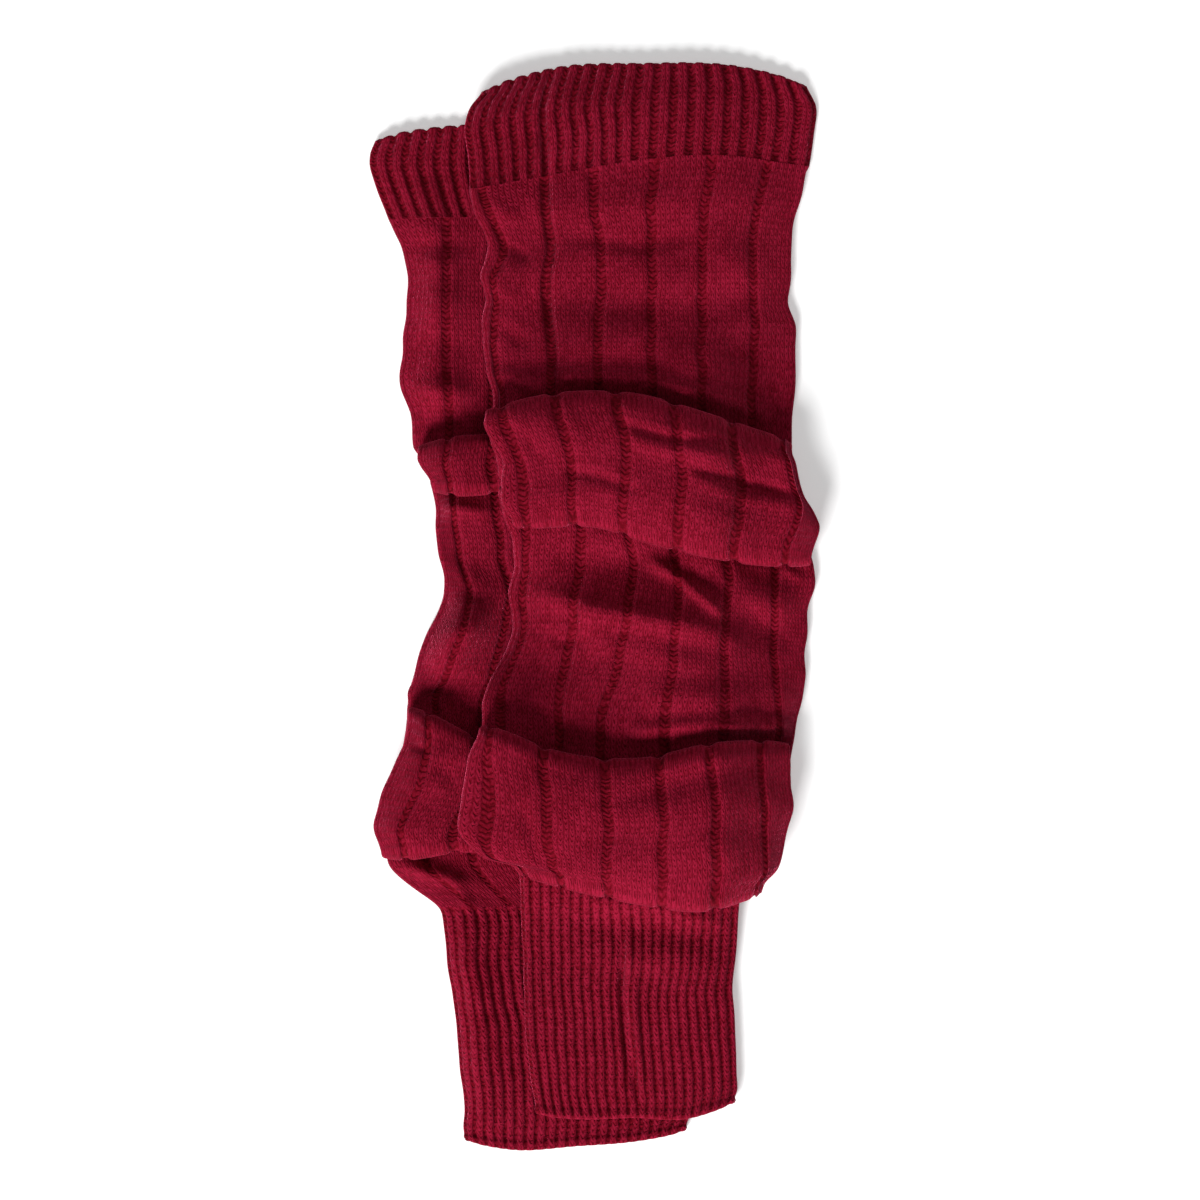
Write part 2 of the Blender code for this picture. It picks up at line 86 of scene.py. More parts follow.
class Turn(Enum):
    """What the cloth does at a row: its nose direction along Y, and its climb in layers."""

    LIE = (0, 0)
    TUCK = (-1, 1)
    CREST = (1, 1)
    BROW = (-1, -1)
    BACK = (1, -1)


class Stretch(IntEnum):
    """The stretches of a leg warmer that show; the odd numbers between them are hidden."""

    UPPER = 0
    BAND_ONE = 2
    MIDDLE = 4
    BAND_TWO = 6
    ANKLE = 8


@dataclass(frozen=True)
class Row:
    """A row across the flat tube: its edges, its places along Y, and the top panel's swell.

    The five places are at the left edge, a quarter, half, three quarters and the right edge.
    """

    turn: Turn
    left: float
    right: float
    places: tuple[float, float, float, float, float]
    puff: float


def across(left: float, right: float, *rest: float, turn: Turn = Turn.LIE) -> Row:
    """A row from its edges, its five places along Y and its swell, in that order."""
    return Row(turn, left, right, tuple(rest[:5]), rest[5])


def level(left: float, right: float, y: float, puff: float) -> Row:
    """A row that runs straight across at one place along Y."""
    return Row(Turn.LIE, left, right, (y,) * 5, puff)


OVER_TOP_CUFF = (
    across(-45.0, 83.5, 207.0, 214.8, 216.0, 215.6, 209.6, 0.4),
    across(-51.2, 87.6, 200.8, 209.6, 210.8, 210.4, 203.2, 0.8),
    across(-53.6, 88.4, 191.2, 200.4, 202.4, 202.4, 197.6, 1.2),
    across(-52.0, 87.2, 181.6, 186.4, 189.2, 190.4, 188.0, 1.2),
    across(-51.0, 85.6, 167.2, 173.0, 178.6, 180.6, 176.6, 0.8),
)

OVER_LEG = (
    OVER_TOP_CUFF[-1],
    across(-49.6, 81.0, 157.4, 158.0, 160.0, 161.0, 159.0, 1.6),
    across(-43.2, 79.4, 144.6, 144.8, 145.0, 145.0, 144.6, 1.0),
    across(-46.8, 78.6, 132.4, 132.4, 132.4, 132.4, 132.4, 2.0),
    across(-44.4, 77.2, 121.6, 121.6, 121.6, 121.6, 121.6, 1.2),
    across(-46.2, 81.2, 112.4, 112.4, 112.4, 112.4, 112.4, 2.2),
    across(-46.2, 81.2, 103.2, 103.2, 103.2, 102.0, 101.0, 1.6),
    across(-42.8, 79.6, 91.0, 93.0, 92.0, 86.0, 80.0, 0.6),
    across(-42.0, 78.8, 80.0, 82.0, 80.0, 73.0, 64.5, 0.0),
    across(-39.6, 81.0, 50.4, 54.4, 50.4, 42.4, 37.6, 0.0, turn=Turn.TUCK),
    across(-44.0, 78.4, 80.4, 85.6, 84.4, 76.0, 67.2, 2.0, turn=Turn.CREST),
    across(-45.6, 80.8, 72.4, 74.4, 72.4, 64.4, 58.0, 3.2),
    across(-37.6, 83.6, 56.4, 59.2, 54.4, 48.4, 43.2, 2.4),
    across(-38.0, 91.6, 41.6, 44.4, 38.4, 33.6, 31.2, 3.2),
    across(-33.6, 86.4, 29.2, 31.2, 23.2, 17.2, 14.4, 2.0, turn=Turn.BROW),
    across(-38.8, 83.6, 48.4, 52.2, 48.2, 40.2, 35.4, 0.0, turn=Turn.BACK),
    across(-35.6, 87.0, 32.0, 34.0, 27.0, 21.0, 18.0, 0.0),
    across(-34.4, 88.8, 22.4, 23.4, 15.8, 10.0, 7.6, 1.0),
    across(-32.8, 86.4, 14.4, 14.0, 7.0, 1.6, -0.8, 1.8),
    across(-35.6, 84.6, 3.6, 3.0, -3.0, -7.0, -9.6, 1.2),
    across(-33.0, 84.8, -9.0, -10.0, -13.0, -16.0, -18.4, 1.8),
    across(-38.8, 84.8, -21.6, -22.5, -24.0, -26.0, -27.6, 1.4),
    across(-44.4, 83.6, -32.8, -33.2, -34.2, -35.6, -36.2, 1.6),
    across(-46.0, 81.6, -40.8, -45.6, -46.6, -45.2, -44.4, 0.6),
    across(-46.0, 79.6, -50.0, -59.0, -61.0, -58.0, -56.0, 0.0),
    across(-48.0, 77.2, -86.0, -90.0, -92.0, -90.0, -88.0, 0.0, turn=Turn.TUCK),
    across(-47.2, 78.0, -44.8, -57.6, -60.4, -54.4, -52.4, 3.0, turn=Turn.CREST),
    across(-51.6, 78.8, -59.6, -70.4, -72.8, -68.8, -66.4, 3.8),
    across(-54.4, 79.2, -77.6, -83.6, -85.6, -83.6, -80.8, 4.0),
    across(-54.2, 76.4, -91.8, -96.8, -99.6, -98.4, -94.4, 4.0),
    across(-46.4, 73.6, -100.8, -104.8, -108.8, -109.6, -106.4, 3.2),
    across(-32.0, 66.8, -109.2, -114.4, -119.2, -122.0, -116.8, 2.0, turn=Turn.BROW),
    across(-35.6, 65.2, -90.0, -92.4, -94.0, -92.4, -91.2, 0.0, turn=Turn.BACK),
    across(-32.8, 61.2, -99.0, -100.0, -101.0, -100.0, -99.0, 0.0),
    level(-31.2, 59.2, -106.0, 0.0),
)

OVER_ANKLE_CUFF = (
    OVER_LEG[-1],
    level(-30.8, 58.4, -114.5, 0.0),
    level(-30.4, 57.6, -124.0, 0.3),
    level(-29.6, 56.0, -141.6, 1.2),
    level(-29.4, 55.2, -155.0, 1.2),
    level(-28.8, 56.0, -170.0, 1.0),
    level(-27.2, 56.8, -186.0, 1.0),
    across(-25.6, 57.2, -197.0, -198.6, -198.6, -198.4, -194.8, 0.8),
    across(-24.0, 54.6, -203.6, -204.8, -204.2, -204.8, -199.8, 0.4),
)

UNDER_TOP_CUFF = (
    across(-88.4, 43.6, 187.6, 191.2, 191.2, 190.8, 187.6, 0.4),
    across(-91.2, 45.6, 183.4, 186.4, 186.4, 186.4, 183.6, 0.8),
    level(-91.6, 46.0, 176.6, 1.2),
    level(-88.4, 43.6, 166.8, 1.2),
    across(-84.0, 40.8, 155.2, 156.0, 156.0, 156.0, 155.2, 0.8),
)

UNDER_LEG = (
    UNDER_TOP_CUFF[-1],
    level(-78.8, 38.8, 145.6, 2.2),
    level(-76.4, 38.0, 134.0, 2.2),
    level(-76.8, 38.0, 118.4, 2.6),
    level(-78.4, 37.2, 102.4, 2.4),
    level(-79.6, 37.2, 87.0, 3.0),
    level(-75.2, 36.4, 77.2, 0.8),
    across(-73.2, 36.4, 63.5, 67.6, 68.0, 67.2, 65.8, 0.0),
    across(-71.6, 37.2, 55.6, 56.4, 56.4, 56.4, 55.6, 0.0, turn=Turn.TUCK),
    across(-72.0, 37.2, 66.0, 70.0, 70.4, 69.6, 68.0, 1.6, turn=Turn.CREST),
    across(-71.2, 38.8, 57.2, 58.0, 58.0, 57.8, 57.2, 2.6),
    across(-66.4, 37.2, 44.0, 43.6, 43.6, 43.6, 43.0, 1.6, turn=Turn.BROW),
    across(-67.6, 37.2, 54.6, 55.2, 55.2, 55.2, 54.6, 0.0, turn=Turn.BACK),
    level(-65.6, 37.2, 47.2, 0.0),
    level(-65.2, 37.2, 40.8, 2.0),
    level(-64.8, 37.2, 33.0, 0.8),
    level(-64.0, 37.2, 20.8, 1.2),
    level(-61.2, 38.0, 4.0, 1.8),
    level(-66.0, 38.0, -8.0, 2.2),
    level(-72.4, 38.0, -18.8, 2.4),
    level(-75.6, 37.2, -31.6, 1.0),
    across(-75.6, 37.2, -42.0, -53.0, -57.0, -55.0, -51.0, 0.0),
    across(-80.4, 38.0, -73.6, -75.0, -76.0, -75.0, -74.0, 0.0, turn=Turn.TUCK),
    across(-76.0, 37.2, -39.2, -51.6, -55.6, -53.6, -49.6, 1.6, turn=Turn.CREST),
    across(-78.0, 38.8, -56.0, -62.0, -66.0, -64.0, -60.0, 2.6),
    across(-86.0, 40.4, -74.0, -78.0, -80.0, -79.0, -76.0, 3.2),
    across(-90.4, 40.4, -88.6, -90.0, -91.0, -91.0, -90.0, 3.2),
    across(-86.8, 38.0, -102.8, -100.4, -101.6, -103.2, -101.6, 2.0, turn=Turn.BROW),
    across(-83.6, 37.2, -74.8, -76.2, -77.2, -76.2, -75.2, 0.0, turn=Turn.BACK),
    level(-84.8, 37.2, -96.0, 0.0),
    level(-84.0, 36.4, -104.8, 0.6),
    level(-78.8, 35.6, -110.0, 0.8),
    level(-71.2, 34.8, -115.2, 0.8),
    level(-62.8, 34.0, -120.8, 0.6),
)

UNDER_ANKLE_CUFF = (
    UNDER_LEG[-1],
    level(-61.2, 34.4, -132.8, 2.2),
    level(-59.2, 34.4, -150.0, 3.2),
    level(-56.4, 34.8, -170.0, 3.2),
    level(-54.8, 36.0, -188.0, 3.0),
    level(-53.2, 37.2, -203.0, 2.2),
    across(-54.4, 37.6, -210.4, -212.0, -211.0, -209.6, -206.6, 0.8),
    across(-52.0, 35.2, -215.0, -217.6, -216.0, -214.4, -211.0, 0.4),
)

# Where the purl channels of the legs run in each stretch that shows, in the photograph's
# pixels, from the left-hand channel to the right-hand one
OVER_CHANNELS = {
    Stretch.UPPER: (
        ((480, 195), (506, 250), (491, 280), (495, 310), (489, 350)),
        ((546, 190), (550, 250), (546, 290), (551, 340)),
        ((592, 180), (597, 215), (601, 250), (600, 300), (598, 340)),
        ((655, 165), (651, 200), (652, 300), (652, 350)),
        ((712, 175), (704, 200), (703, 250), (701, 390)),
        ((770, 165), (758, 200), (753, 240), (756, 300), (752, 400)),
    ),
    Stretch.BAND_ONE: (
        ((500, 410), (510, 435), (524, 475), (526, 488)),
        ((553, 397), (567, 440), (572, 480), (571, 510)),
        ((615, 400), (625, 440), (625, 480), (622, 530)),
        ((672, 405), (677, 440), (682, 480), (677, 540)),
        ((731, 425), (736, 460), (742, 485), (734, 545)),
        ((788, 440), (795, 480), (801, 505), (787, 555)),
    ),
    Stretch.MIDDLE: (
        ((525, 540), (522, 600), (524, 625), (515, 655), (500, 690)),
        ((580, 525), (582, 560), (572, 620), (567, 650), (560, 690)),
        ((628, 535), (634, 560), (627, 620), (610, 690), (600, 720)),
        ((673, 555), (678, 600), (676, 630), (672, 680), (665, 710)),
        ((725, 560), (728, 580), (727, 630), (723, 700)),
        ((776, 575), (775, 630), (776, 660), (780, 710)),
    ),
    Stretch.BAND_TWO: (
        ((486, 730), (492, 800), (487, 850)),
        ((540, 740), (548, 790), (546, 840), (560, 880)),
        ((604, 770), (608, 830), (608, 890)),
        ((655, 755), (663, 800), (663, 895)),
        ((707, 755), (715, 790), (716, 905)),
        ((760, 750), (765, 800), (765, 885)),
    ),
}

UNDER_CHANNELS = {
    Stretch.UPPER: (((447, 225), (446, 300), (448, 380)),),
    Stretch.BAND_ONE: (((448, 440), (447, 465), (450, 490)),),
    Stretch.MIDDLE: (
        ((452, 515), (458, 560), (470, 590), (466, 625), (455, 650), (445, 680), (435, 695)),
    ),
    Stretch.BAND_TWO: (
        ((425, 700), (427, 745), (417, 790), (405, 815), (400, 830), (402, 850), (420, 868)),
    ),
}


@dataclass(frozen=True)
class Crease:
    """A soft trough (height below 0) or ridge (above 0) pressed into the top panel."""

    height: float
    width: float
    pixels: tuple[tuple[float, float], ...]
    taper_power: int = 4

    def lift(self, x: np.ndarray, y: np.ndarray) -> np.ndarray:
        """How far it moves the cloth at points on the surface.

        The height times the bell curve of the distance to its line over its width, times a
        taper that is 1 along the line and falls to 0 at its two ends.

        Args:
            x: Places along X.
            y: Places along Y.

        Returns:
            The rise at each place, in millimetres.
        """
        line = on_surface(self.pixels)
        starts = line[:-1]
        spans = line[1:] - line[:-1]
        runs = np.hypot(spans[:, 0], spans[:, 1])
        before = np.concatenate([[0.0], np.cumsum(runs)[:-1]])
        offset_x = x[..., None] - starts[:, 0]
        offset_y = y[..., None] - starts[:, 1]
        along = (offset_x * spans[:, 0] + offset_y * spans[:, 1]) / runs ** 2
        along = np.clip(along, 0.0, 1.0)
        away = np.hypot(offset_x - along * spans[:, 0], offset_y - along * spans[:, 1])
        nearest = np.argmin(away, axis=-1)[..., None]
        distance = np.take_along_axis(away, nearest, axis=-1)[..., 0]
        reached = np.take_along_axis(before + along * runs, nearest, axis=-1)[..., 0]
        share = reached / runs.sum()
        taper = 1.0 - np.abs(2.0 * share - 1.0) ** self.taper_power
        return self.height * taper * bell(distance, self.width)


# Creases laid in each stretch: height and width in millimetres, and the line that each
# follows, in the photograph's pixels
OVER_CREASES = {
    Stretch.UPPER: (
        Crease(-2.2, 1.7, ((550, 58), (541, 130), (548, 170), (545, 200), (550, 250), (545, 290),
            (550, 330), (553, 392))),
        Crease(-1.4, 7.0, ((522, 200), (528, 260), (526, 330), (532, 385))),
        Crease(-2.4, 3.0, ((486, 228), (505, 245), (530, 258))),
        Crease(1.7, 3.6, ((478, 275), (500, 292), (528, 300))),
        Crease(-1.7, 3.2, ((482, 318), (505, 330), (530, 350))),
        Crease(1.7, 3.5, ((484, 200), (500, 212), (525, 222))),
        Crease(3.7, 2.8, ((484, 384), (498, 378), (510, 375), (522, 381), (540, 396))),
        Crease(-1.7, 8.0, ((690, 290), (740, 345), (800, 400))),
        Crease(1.4, 7.0, ((720, 240), (760, 290), (800, 320))),
        Crease(-1.4, 4.0, ((560, 235), (640, 245), (700, 232))),
        Crease(4.5, 4.2, ((505, 390), (570, 378), (640, 380), (716, 400), (800, 424))),
        Crease(4.5, 12.0, ((480, 362), (570, 348), (640, 350), (716, 370), (800, 396))),
    ),
    Stretch.BAND_ONE: (
        Crease(-1.5, 2.0, ((612, 420), (640, 431), (670, 439), (700, 441), (738, 446))),
        Crease(1.5, 3.0, ((620, 436), (660, 451), (700, 455), (738, 458))),
        Crease(-1.8, 2.0, ((682, 466), (715, 475), (745, 484), (806, 496))),
        Crease(1.4, 3.0, ((690, 480), (745, 498), (800, 508))),
        Crease(-1.4, 3.0, ((498, 424), (525, 440), (545, 462))),
        Crease(-1.4, 2.5, ((560, 470), (600, 478), (640, 492))),
    ),
    Stretch.MIDDLE: (
        Crease(3.7, 3.0, ((646, 558), (682, 580), (704, 597), (730, 620))),
        Crease(3.6, 8.0, ((490, 556), (530, 572), (570, 584), (610, 592), (660, 602),
            (735, 618))),
        Crease(1.7, 5.0, ((560, 640), (640, 650), (720, 668))),
        Crease(2.4, 3.5, ((520, 640), (507, 665), (490, 690))),
        Crease(-2.4, 3.2, ((545, 640), (535, 670), (520, 705))),
        Crease(2.4, 2.0, ((782, 568), (800, 577), (820, 586))),
        Crease(-1.0, 4.0, ((740, 600), (780, 640), (806, 655))),
        Crease(3.4, 8.0, ((690, 552), (715, 566), (750, 590), (800, 612))),
        Crease(5.0, 5.5, ((495, 584), (570, 603), (610, 612), (660, 621), (722, 633),
            (750, 640))),
        Crease(4.5, 12.0, ((505, 606), (570, 618), (610, 625), (660, 634), (722, 644),
            (765, 650))),
        Crease(3.0, 9.0, ((515, 660), (600, 668), (700, 672), (790, 668))),
        Crease(4.0, 9.0, ((640, 702), (700, 700), (760, 698), (815, 698))),
        Crease(4.5, 4.0, ((625, 733), (680, 727), (730, 724), (790, 722))),
        Crease(5.0, 2.8, ((715, 728), (750, 728), (785, 727), (820, 728))),
        Crease(2.0, 6.0, ((576, 610), (590, 622), (608, 632))),
        Crease(-1.8, 3.0, ((530, 632), (560, 640), (592, 642))),
    ),
    Stretch.BAND_TWO: (
        Crease(-2.7, 2.4, ((476, 712), (500, 720), (532, 735))),
        Crease(1.4, 3.0, ((500, 735), (540, 750), (580, 768))),
        Crease(-1.4, 5.0, ((590, 800), (650, 790), (700, 775), (770, 765))),
        Crease(-1.7, 3.0, ((520, 800), (535, 840), (550, 880))),
    ),
    Stretch.ANKLE: (
        Crease(-2.4, 1.8, ((620, 925), (622, 1000), (628, 1050), (637, 1105))),
        Crease(1.4, 2.4, ((628, 925), (632, 1000), (638, 1050), (647, 1100))),
        Crease(-1.9, 1.6, ((540, 895), (540, 980), (541, 1050), (544, 1105))),
        Crease(2.6, 3.5, ((585, 900), (650, 906), (700, 918), (745, 930))),
        Crease(-0.8, 4.0, ((560, 918), (640, 928), (710, 938))),
        Crease(1.8, 7.0, ((555, 950), (640, 958), (750, 966))),
    ),
}

UNDER_CREASES = {
    Stretch.UPPER: (
        Crease(4.5, 6.0, ((396, 394), (430, 392), (490, 387))),
        Crease(-3.0, 9.0, ((396, 350), (430, 348), (490, 342))),
        Crease(-2.5, 5.0, ((396, 243), (430, 246), (490, 240))),
        Crease(1.4, 5.0, ((400, 300), (430, 310), (480, 300))),
        Crease(5.5, 9.0, ((432, 175), (434, 300), (436, 425))),
        Crease(-1.4, 4.0, ((392, 232), (420, 245), (470, 240))),
    ),
    Stretch.MIDDLE: (
        Crease(1.7, 2.4, ((432, 506), (470, 510), (500, 512))),
        Crease(5.0, 7.0, ((500, 622), (452, 632), (428, 644), (406, 664))),
        Crease(-3.5, 5.0, ((500, 690), (452, 692), (420, 700))),
        Crease(-3.0, 9.0, ((430, 545), (470, 560), (505, 570))),
        Crease(-1.7, 3.5, ((440, 575), (460, 590), (490, 600))),
        Crease(7.0, 15.0, ((420, 642), (470, 636), (520, 632))),
    ),
    Stretch.BAND_TWO: (
        Crease(-2.2, 2.0, ((398, 740), (412, 744), (430, 752))),
        Crease(-1.5, 4.0, ((440, 760), (460, 790), (466, 830))),
    ),
    Stretch.ANKLE: (
        Crease(4.6, 3.4, ((384, 864), (425, 873), (455, 878), (490, 884))),
        Crease(2.5, 3.0, ((452, 878), (462, 892), (466, 910))),
        Crease(5.0, 8.0, ((458, 900), (464, 1000), (470, 1080), (474, 1140))),
    ),
}


def on_surface(pixels: tuple[tuple[float, float], ...]) -> np.ndarray:
    """Turn the photograph's pixels into places on the surface.

    Args:
        pixels: Points right and down from the photograph's top left corner.

    Returns:
        One row of X and Y in millimetres for each point.
    """
    points = np.asarray(pixels, dtype=float)
    right, down = PIXEL_AT_ORIGIN
    return np.stack([(points[:, 0] - right) * PIXEL, (down - points[:, 1]) * PIXEL], axis=1)


def smooth_between(values: np.ndarray, places: np.ndarray) -> np.ndarray:
    """Read a smooth curve through evenly spaced values in each row.

    Between two values it is the cubic that has their values and their central slopes.

    Args:
        values: One row of evenly spaced values for each ring.
        places: Where to read, from 0 to 1, one row for each ring.

    Returns:
        The curve's value at each place.
    """
    slopes = np.gradient(values, axis=1)
    last = values.shape[1] - 1
    position = np.clip(places, 0.0, 1.0) * last
    index = np.minimum(position.astype(int), last - 1)
    step = position - index
    start, end, start_slope, end_slope = (
        np.take_along_axis(table, place, axis=1)
        for table in (values, slopes) for place in (index, index + 1))
    square = step ** 2
    cube = step ** 3
    return ((2 * cube - 3 * square + 1) * start + (cube - 2 * square + step) * start_slope
            + (3 * square - 2 * cube) * end + (cube - square) * end_slope)


def weights_along(length: np.ndarray, reach: float) -> np.ndarray:
    """Weights that average rings along the cloth under a bell curve.

    Args:
        length: The run of cloth at each ring.
        reach: The curve's width.

    Returns:
        One row of weights for each ring, which add up to 1.
    """
    apart = length[:, None] - length[None, :]
    weights = bell(apart, reach) * np.gradient(length)[None, :]
    return weights / weights.sum(axis=1, keepdims=True)


def bell(distance: np.ndarray, width: float) -> np.ndarray:
    """A bell curve, which is 1 at no distance and near 0 beyond twice the width."""
    return np.exp(-(distance / width) ** 2)


def eased(reach: np.ndarray) -> np.ndarray:
    """Fall from 1 at no reach to 0 at a reach of 1, as half of one plus the cosine."""
    return 0.5 * (1.0 + np.cos(np.pi * np.clip(reach, 0.0, 1.0)))


def placed(name: str, data: bpy.types.ID) -> bpy.types.Object:
    """Add an object with this name and data to the scene."""
    item = bpy.data.objects.new(name, data)
    bpy.context.scene.collection.objects.link(item)
    return item


class Rib(Enum):
    """A way of knitting: the wales in a repeat, and how many of them are purl."""

    CHANNELS = (11, 2)
    WIDE = (4, 2)
    FINE = (2, 1)

    @property
    def repeat(self) -> int:
        """Wales in one repeat."""
        return self.value[0]

    @property
    def purl(self) -> int:
        """Purl wales at the start of each repeat."""
        return self.value[1]


@dataclass(frozen=True)
class Ribbing:
    """How a tube's panel is ribbed: where the ribs run, and how deep the purl wales lie.

    The first groove and the pitch are shares of the flat width, the widths are in wales, the
    edge wales go round each edge, and the groove share is the purl wales' part of a repeat.
    Scallop is how far plain ribs stand out at a mouth, corner how far its corners are rounded
    off, and roll how far its rim curls up, all in millimetres as the depth is.
    """

    rib: Rib
    first_groove: float
    groove_pitch: float
    depth: float
    half_width: float
    flat_width: float
    columns_per_wale: float
    under_columns_per_wale: float
    edge_wales: float
    groove_share: float
    scallop: float = 0.0
    corner: float = 0.0
    roll: float = 0.0

    def grooves(self) -> np.ndarray:
        """Where evenly spaced channels run across the top panel, from its left edge on."""
        even = self.first_groove + self.groove_pitch * np.arange(CHANNEL_COUNT)
        return even + self.groove_pitch * (even[0] < 0)

    def counted(self, repeats: np.ndarray) -> np.ndarray:
        """Count wales up to a number of repeats, which has a groove's middle at each whole.

        The purl wales take the groove's share of each repeat, and the plain ones the rest.
        """
        whole = np.floor(repeats + 0.5)
        beyond = repeats - whole
        wales = np.interp(np.abs(beyond), [0.0, self.groove_share / 2, 0.5],
                          [0.0, self.rib.purl / 2, self.rib.repeat / 2])
        return self.rib.purl / 2 + self.rib.repeat * whole + np.sign(beyond) * wales

    def wales_over(self, share: np.ndarray) -> np.ndarray:
        """Count wales on the top panel."""
        return self.counted((share - self.first_groove) / self.groove_pitch)

    @property
    def panel_wales(self) -> float:
        """Wales across the top panel."""
        return self.rib.repeat / self.groove_pitch

    def wales_round(self) -> int:
        """Wales in the whole tube, a whole number of repeats."""
        about = 2 * (self.panel_wales + self.edge_wales)
        return self.rib.repeat * round(about / self.rib.repeat)

    def wales_under(self, share: np.ndarray) -> np.ndarray:
        """Count wales on the underside, which runs back from the right edge to the left.

        The underside has the wales that are left when the top panel and both edges are counted.
        """
        count = self.wales_round() - self.panel_wales - 2 * self.edge_wales
        start = (1.0 - self.first_groove) / self.groove_pitch * self.rib.repeat
        wales = start + self.edge_wales + (1.0 - share) * count
        return self.counted(wales / self.rib.repeat)

    def depth_at(self, wales: np.ndarray) -> np.ndarray:
        """How deep the cloth's face lies: a flat bottom in the purl wales and round shoulders.

        It eases off over the distance from the groove's middle beyond its flat part, taken as
        a share of what is left of its half width.
        """
        middle = self.rib.purl / 2
        repeat = self.rib.repeat
        distance = np.abs(np.mod(wales - middle + repeat / 2, repeat) - repeat / 2)
        reach = (distance - self.flat_width) / (self.half_width - self.flat_width)
        return self.depth * eased(reach)


LEG_RIBBING = Ribbing(
    Rib.CHANNELS, first_groove=0.040, groove_pitch=0.165, depth=1.2, half_width=2.0,
    flat_width=0.3, columns_per_wale=2.0, under_columns_per_wale=1.0, edge_wales=3.2,
    groove_share=0.17)
UNDER_LEG_RIBBING = replace(LEG_RIBBING, first_groove=-0.045)
TOP_CUFF_RIBBING = Ribbing(
    Rib.WIDE, first_groove=0.046, groove_pitch=0.0482, depth=1.4, half_width=1.5,
    flat_width=0.2, columns_per_wale=3.5, under_columns_per_wale=2.5, edge_wales=4.0,
    groove_share=0.46, scallop=1.1, corner=2.6)
ANKLE_CUFF_RIBBING = Ribbing(
    Rib.FINE, first_groove=0.030, groove_pitch=0.0480, depth=1.0, half_width=0.9,
    flat_width=0.1, columns_per_wale=4.5, under_columns_per_wale=3.0, edge_wales=3.0,
    groove_share=0.26, scallop=0.15, corner=1.0, roll=0.7)


@dataclass(frozen=True)
class Ring:
    """One ring round a flat tube, from the left edge over the top and back underneath.

    across is the share of the flat width, reach the half-round reach beyond the flat part, side
    the side of the middle of the cloth, top 1 on the top panel, order a number that grows round
    the ring up to 4, and wales the wale count, with the count at the ring's close at its end.
    """

    across: np.ndarray
    reach: np.ndarray
    side: np.ndarray
    top: np.ndarray
    order: np.ndarray
    wales: np.ndarray

    @classmethod
    def round_tube(cls, ribbing: Ribbing, over: np.ndarray, under: np.ndarray,
                   side_steps: int) -> "Ring":
        """Go round: the top panel, the right edge, the underside and the left edge.

        Args:
            ribbing: The ribbing that counts the wales.
            over: Shares of the width across the top panel.
            under: Shares of the width across the underside.
            side_steps: Points on each half-round edge.

        Returns:
            The ring.
        """
        angles = np.linspace(math.pi / 2, -math.pi / 2, side_steps + 2)[1:-1]
        back = under[::-1]
        flat = np.zeros(len(back))
        edge = (np.arange(side_steps) + 1.0) / (side_steps + 1.0)
        wales_over = ribbing.wales_over(over)
        wales_back = ribbing.wales_under(back)
        close = wales_over[0] + ribbing.wales_round()
        right_edge = wales_over[-1] + edge * (wales_back[0] - wales_over[-1])
        left_edge = wales_back[-1] + edge * (close - wales_back[-1])
        return cls(
            np.concatenate([over, np.ones(side_steps), back, np.zeros(side_steps)]),
            np.concatenate([0 * over, np.cos(angles), flat, -np.cos(angles)]),
            np.concatenate([0 * over + 1, np.sin(angles), flat - 1.0, -np.sin(angles)]),
            np.concatenate([0 * over + 1, 0 * angles, flat, 0 * angles]),
            np.concatenate([over, 1.0 + edge, 3.0 - back, 3.0 + edge]),
            np.concatenate([wales_over, right_edge, wales_back, left_edge, [close]]))


@dataclass(frozen=True)
class Path:
    """A flat tube followed along its length, one entry for each ring.

    left and right are its edges, places its five places along Y, height and lean the middle of
    the cloth and how far it leans round a turn, swell how far the top panel bulges, stretch the
    number of its stretch, length the run of cloth so far, and shares where the ribs run.
    """

    left: np.ndarray
    right: np.ndarray
    places: np.ndarray
    height: np.ndarray
    lean: np.ndarray
    swell: np.ndarray
    stretch: np.ndarray
    length: np.ndarray
    shares: np.ndarray

    def part(self, rings: np.ndarray) -> "Path":
        """The same tube, with these rings alone."""
        return Path(*(getattr(self, name)[rings] for name in self.__dataclass_fields__))


@dataclass(frozen=True)
class Spacing:
    """Rings along a tube: how far apart they lie, and the steps round each turn."""

    shown: float = 1.3
    hidden: float = 5.0
    edge_steps: int = 9
    hidden_steps: int = 4
    soften: float = 3.0


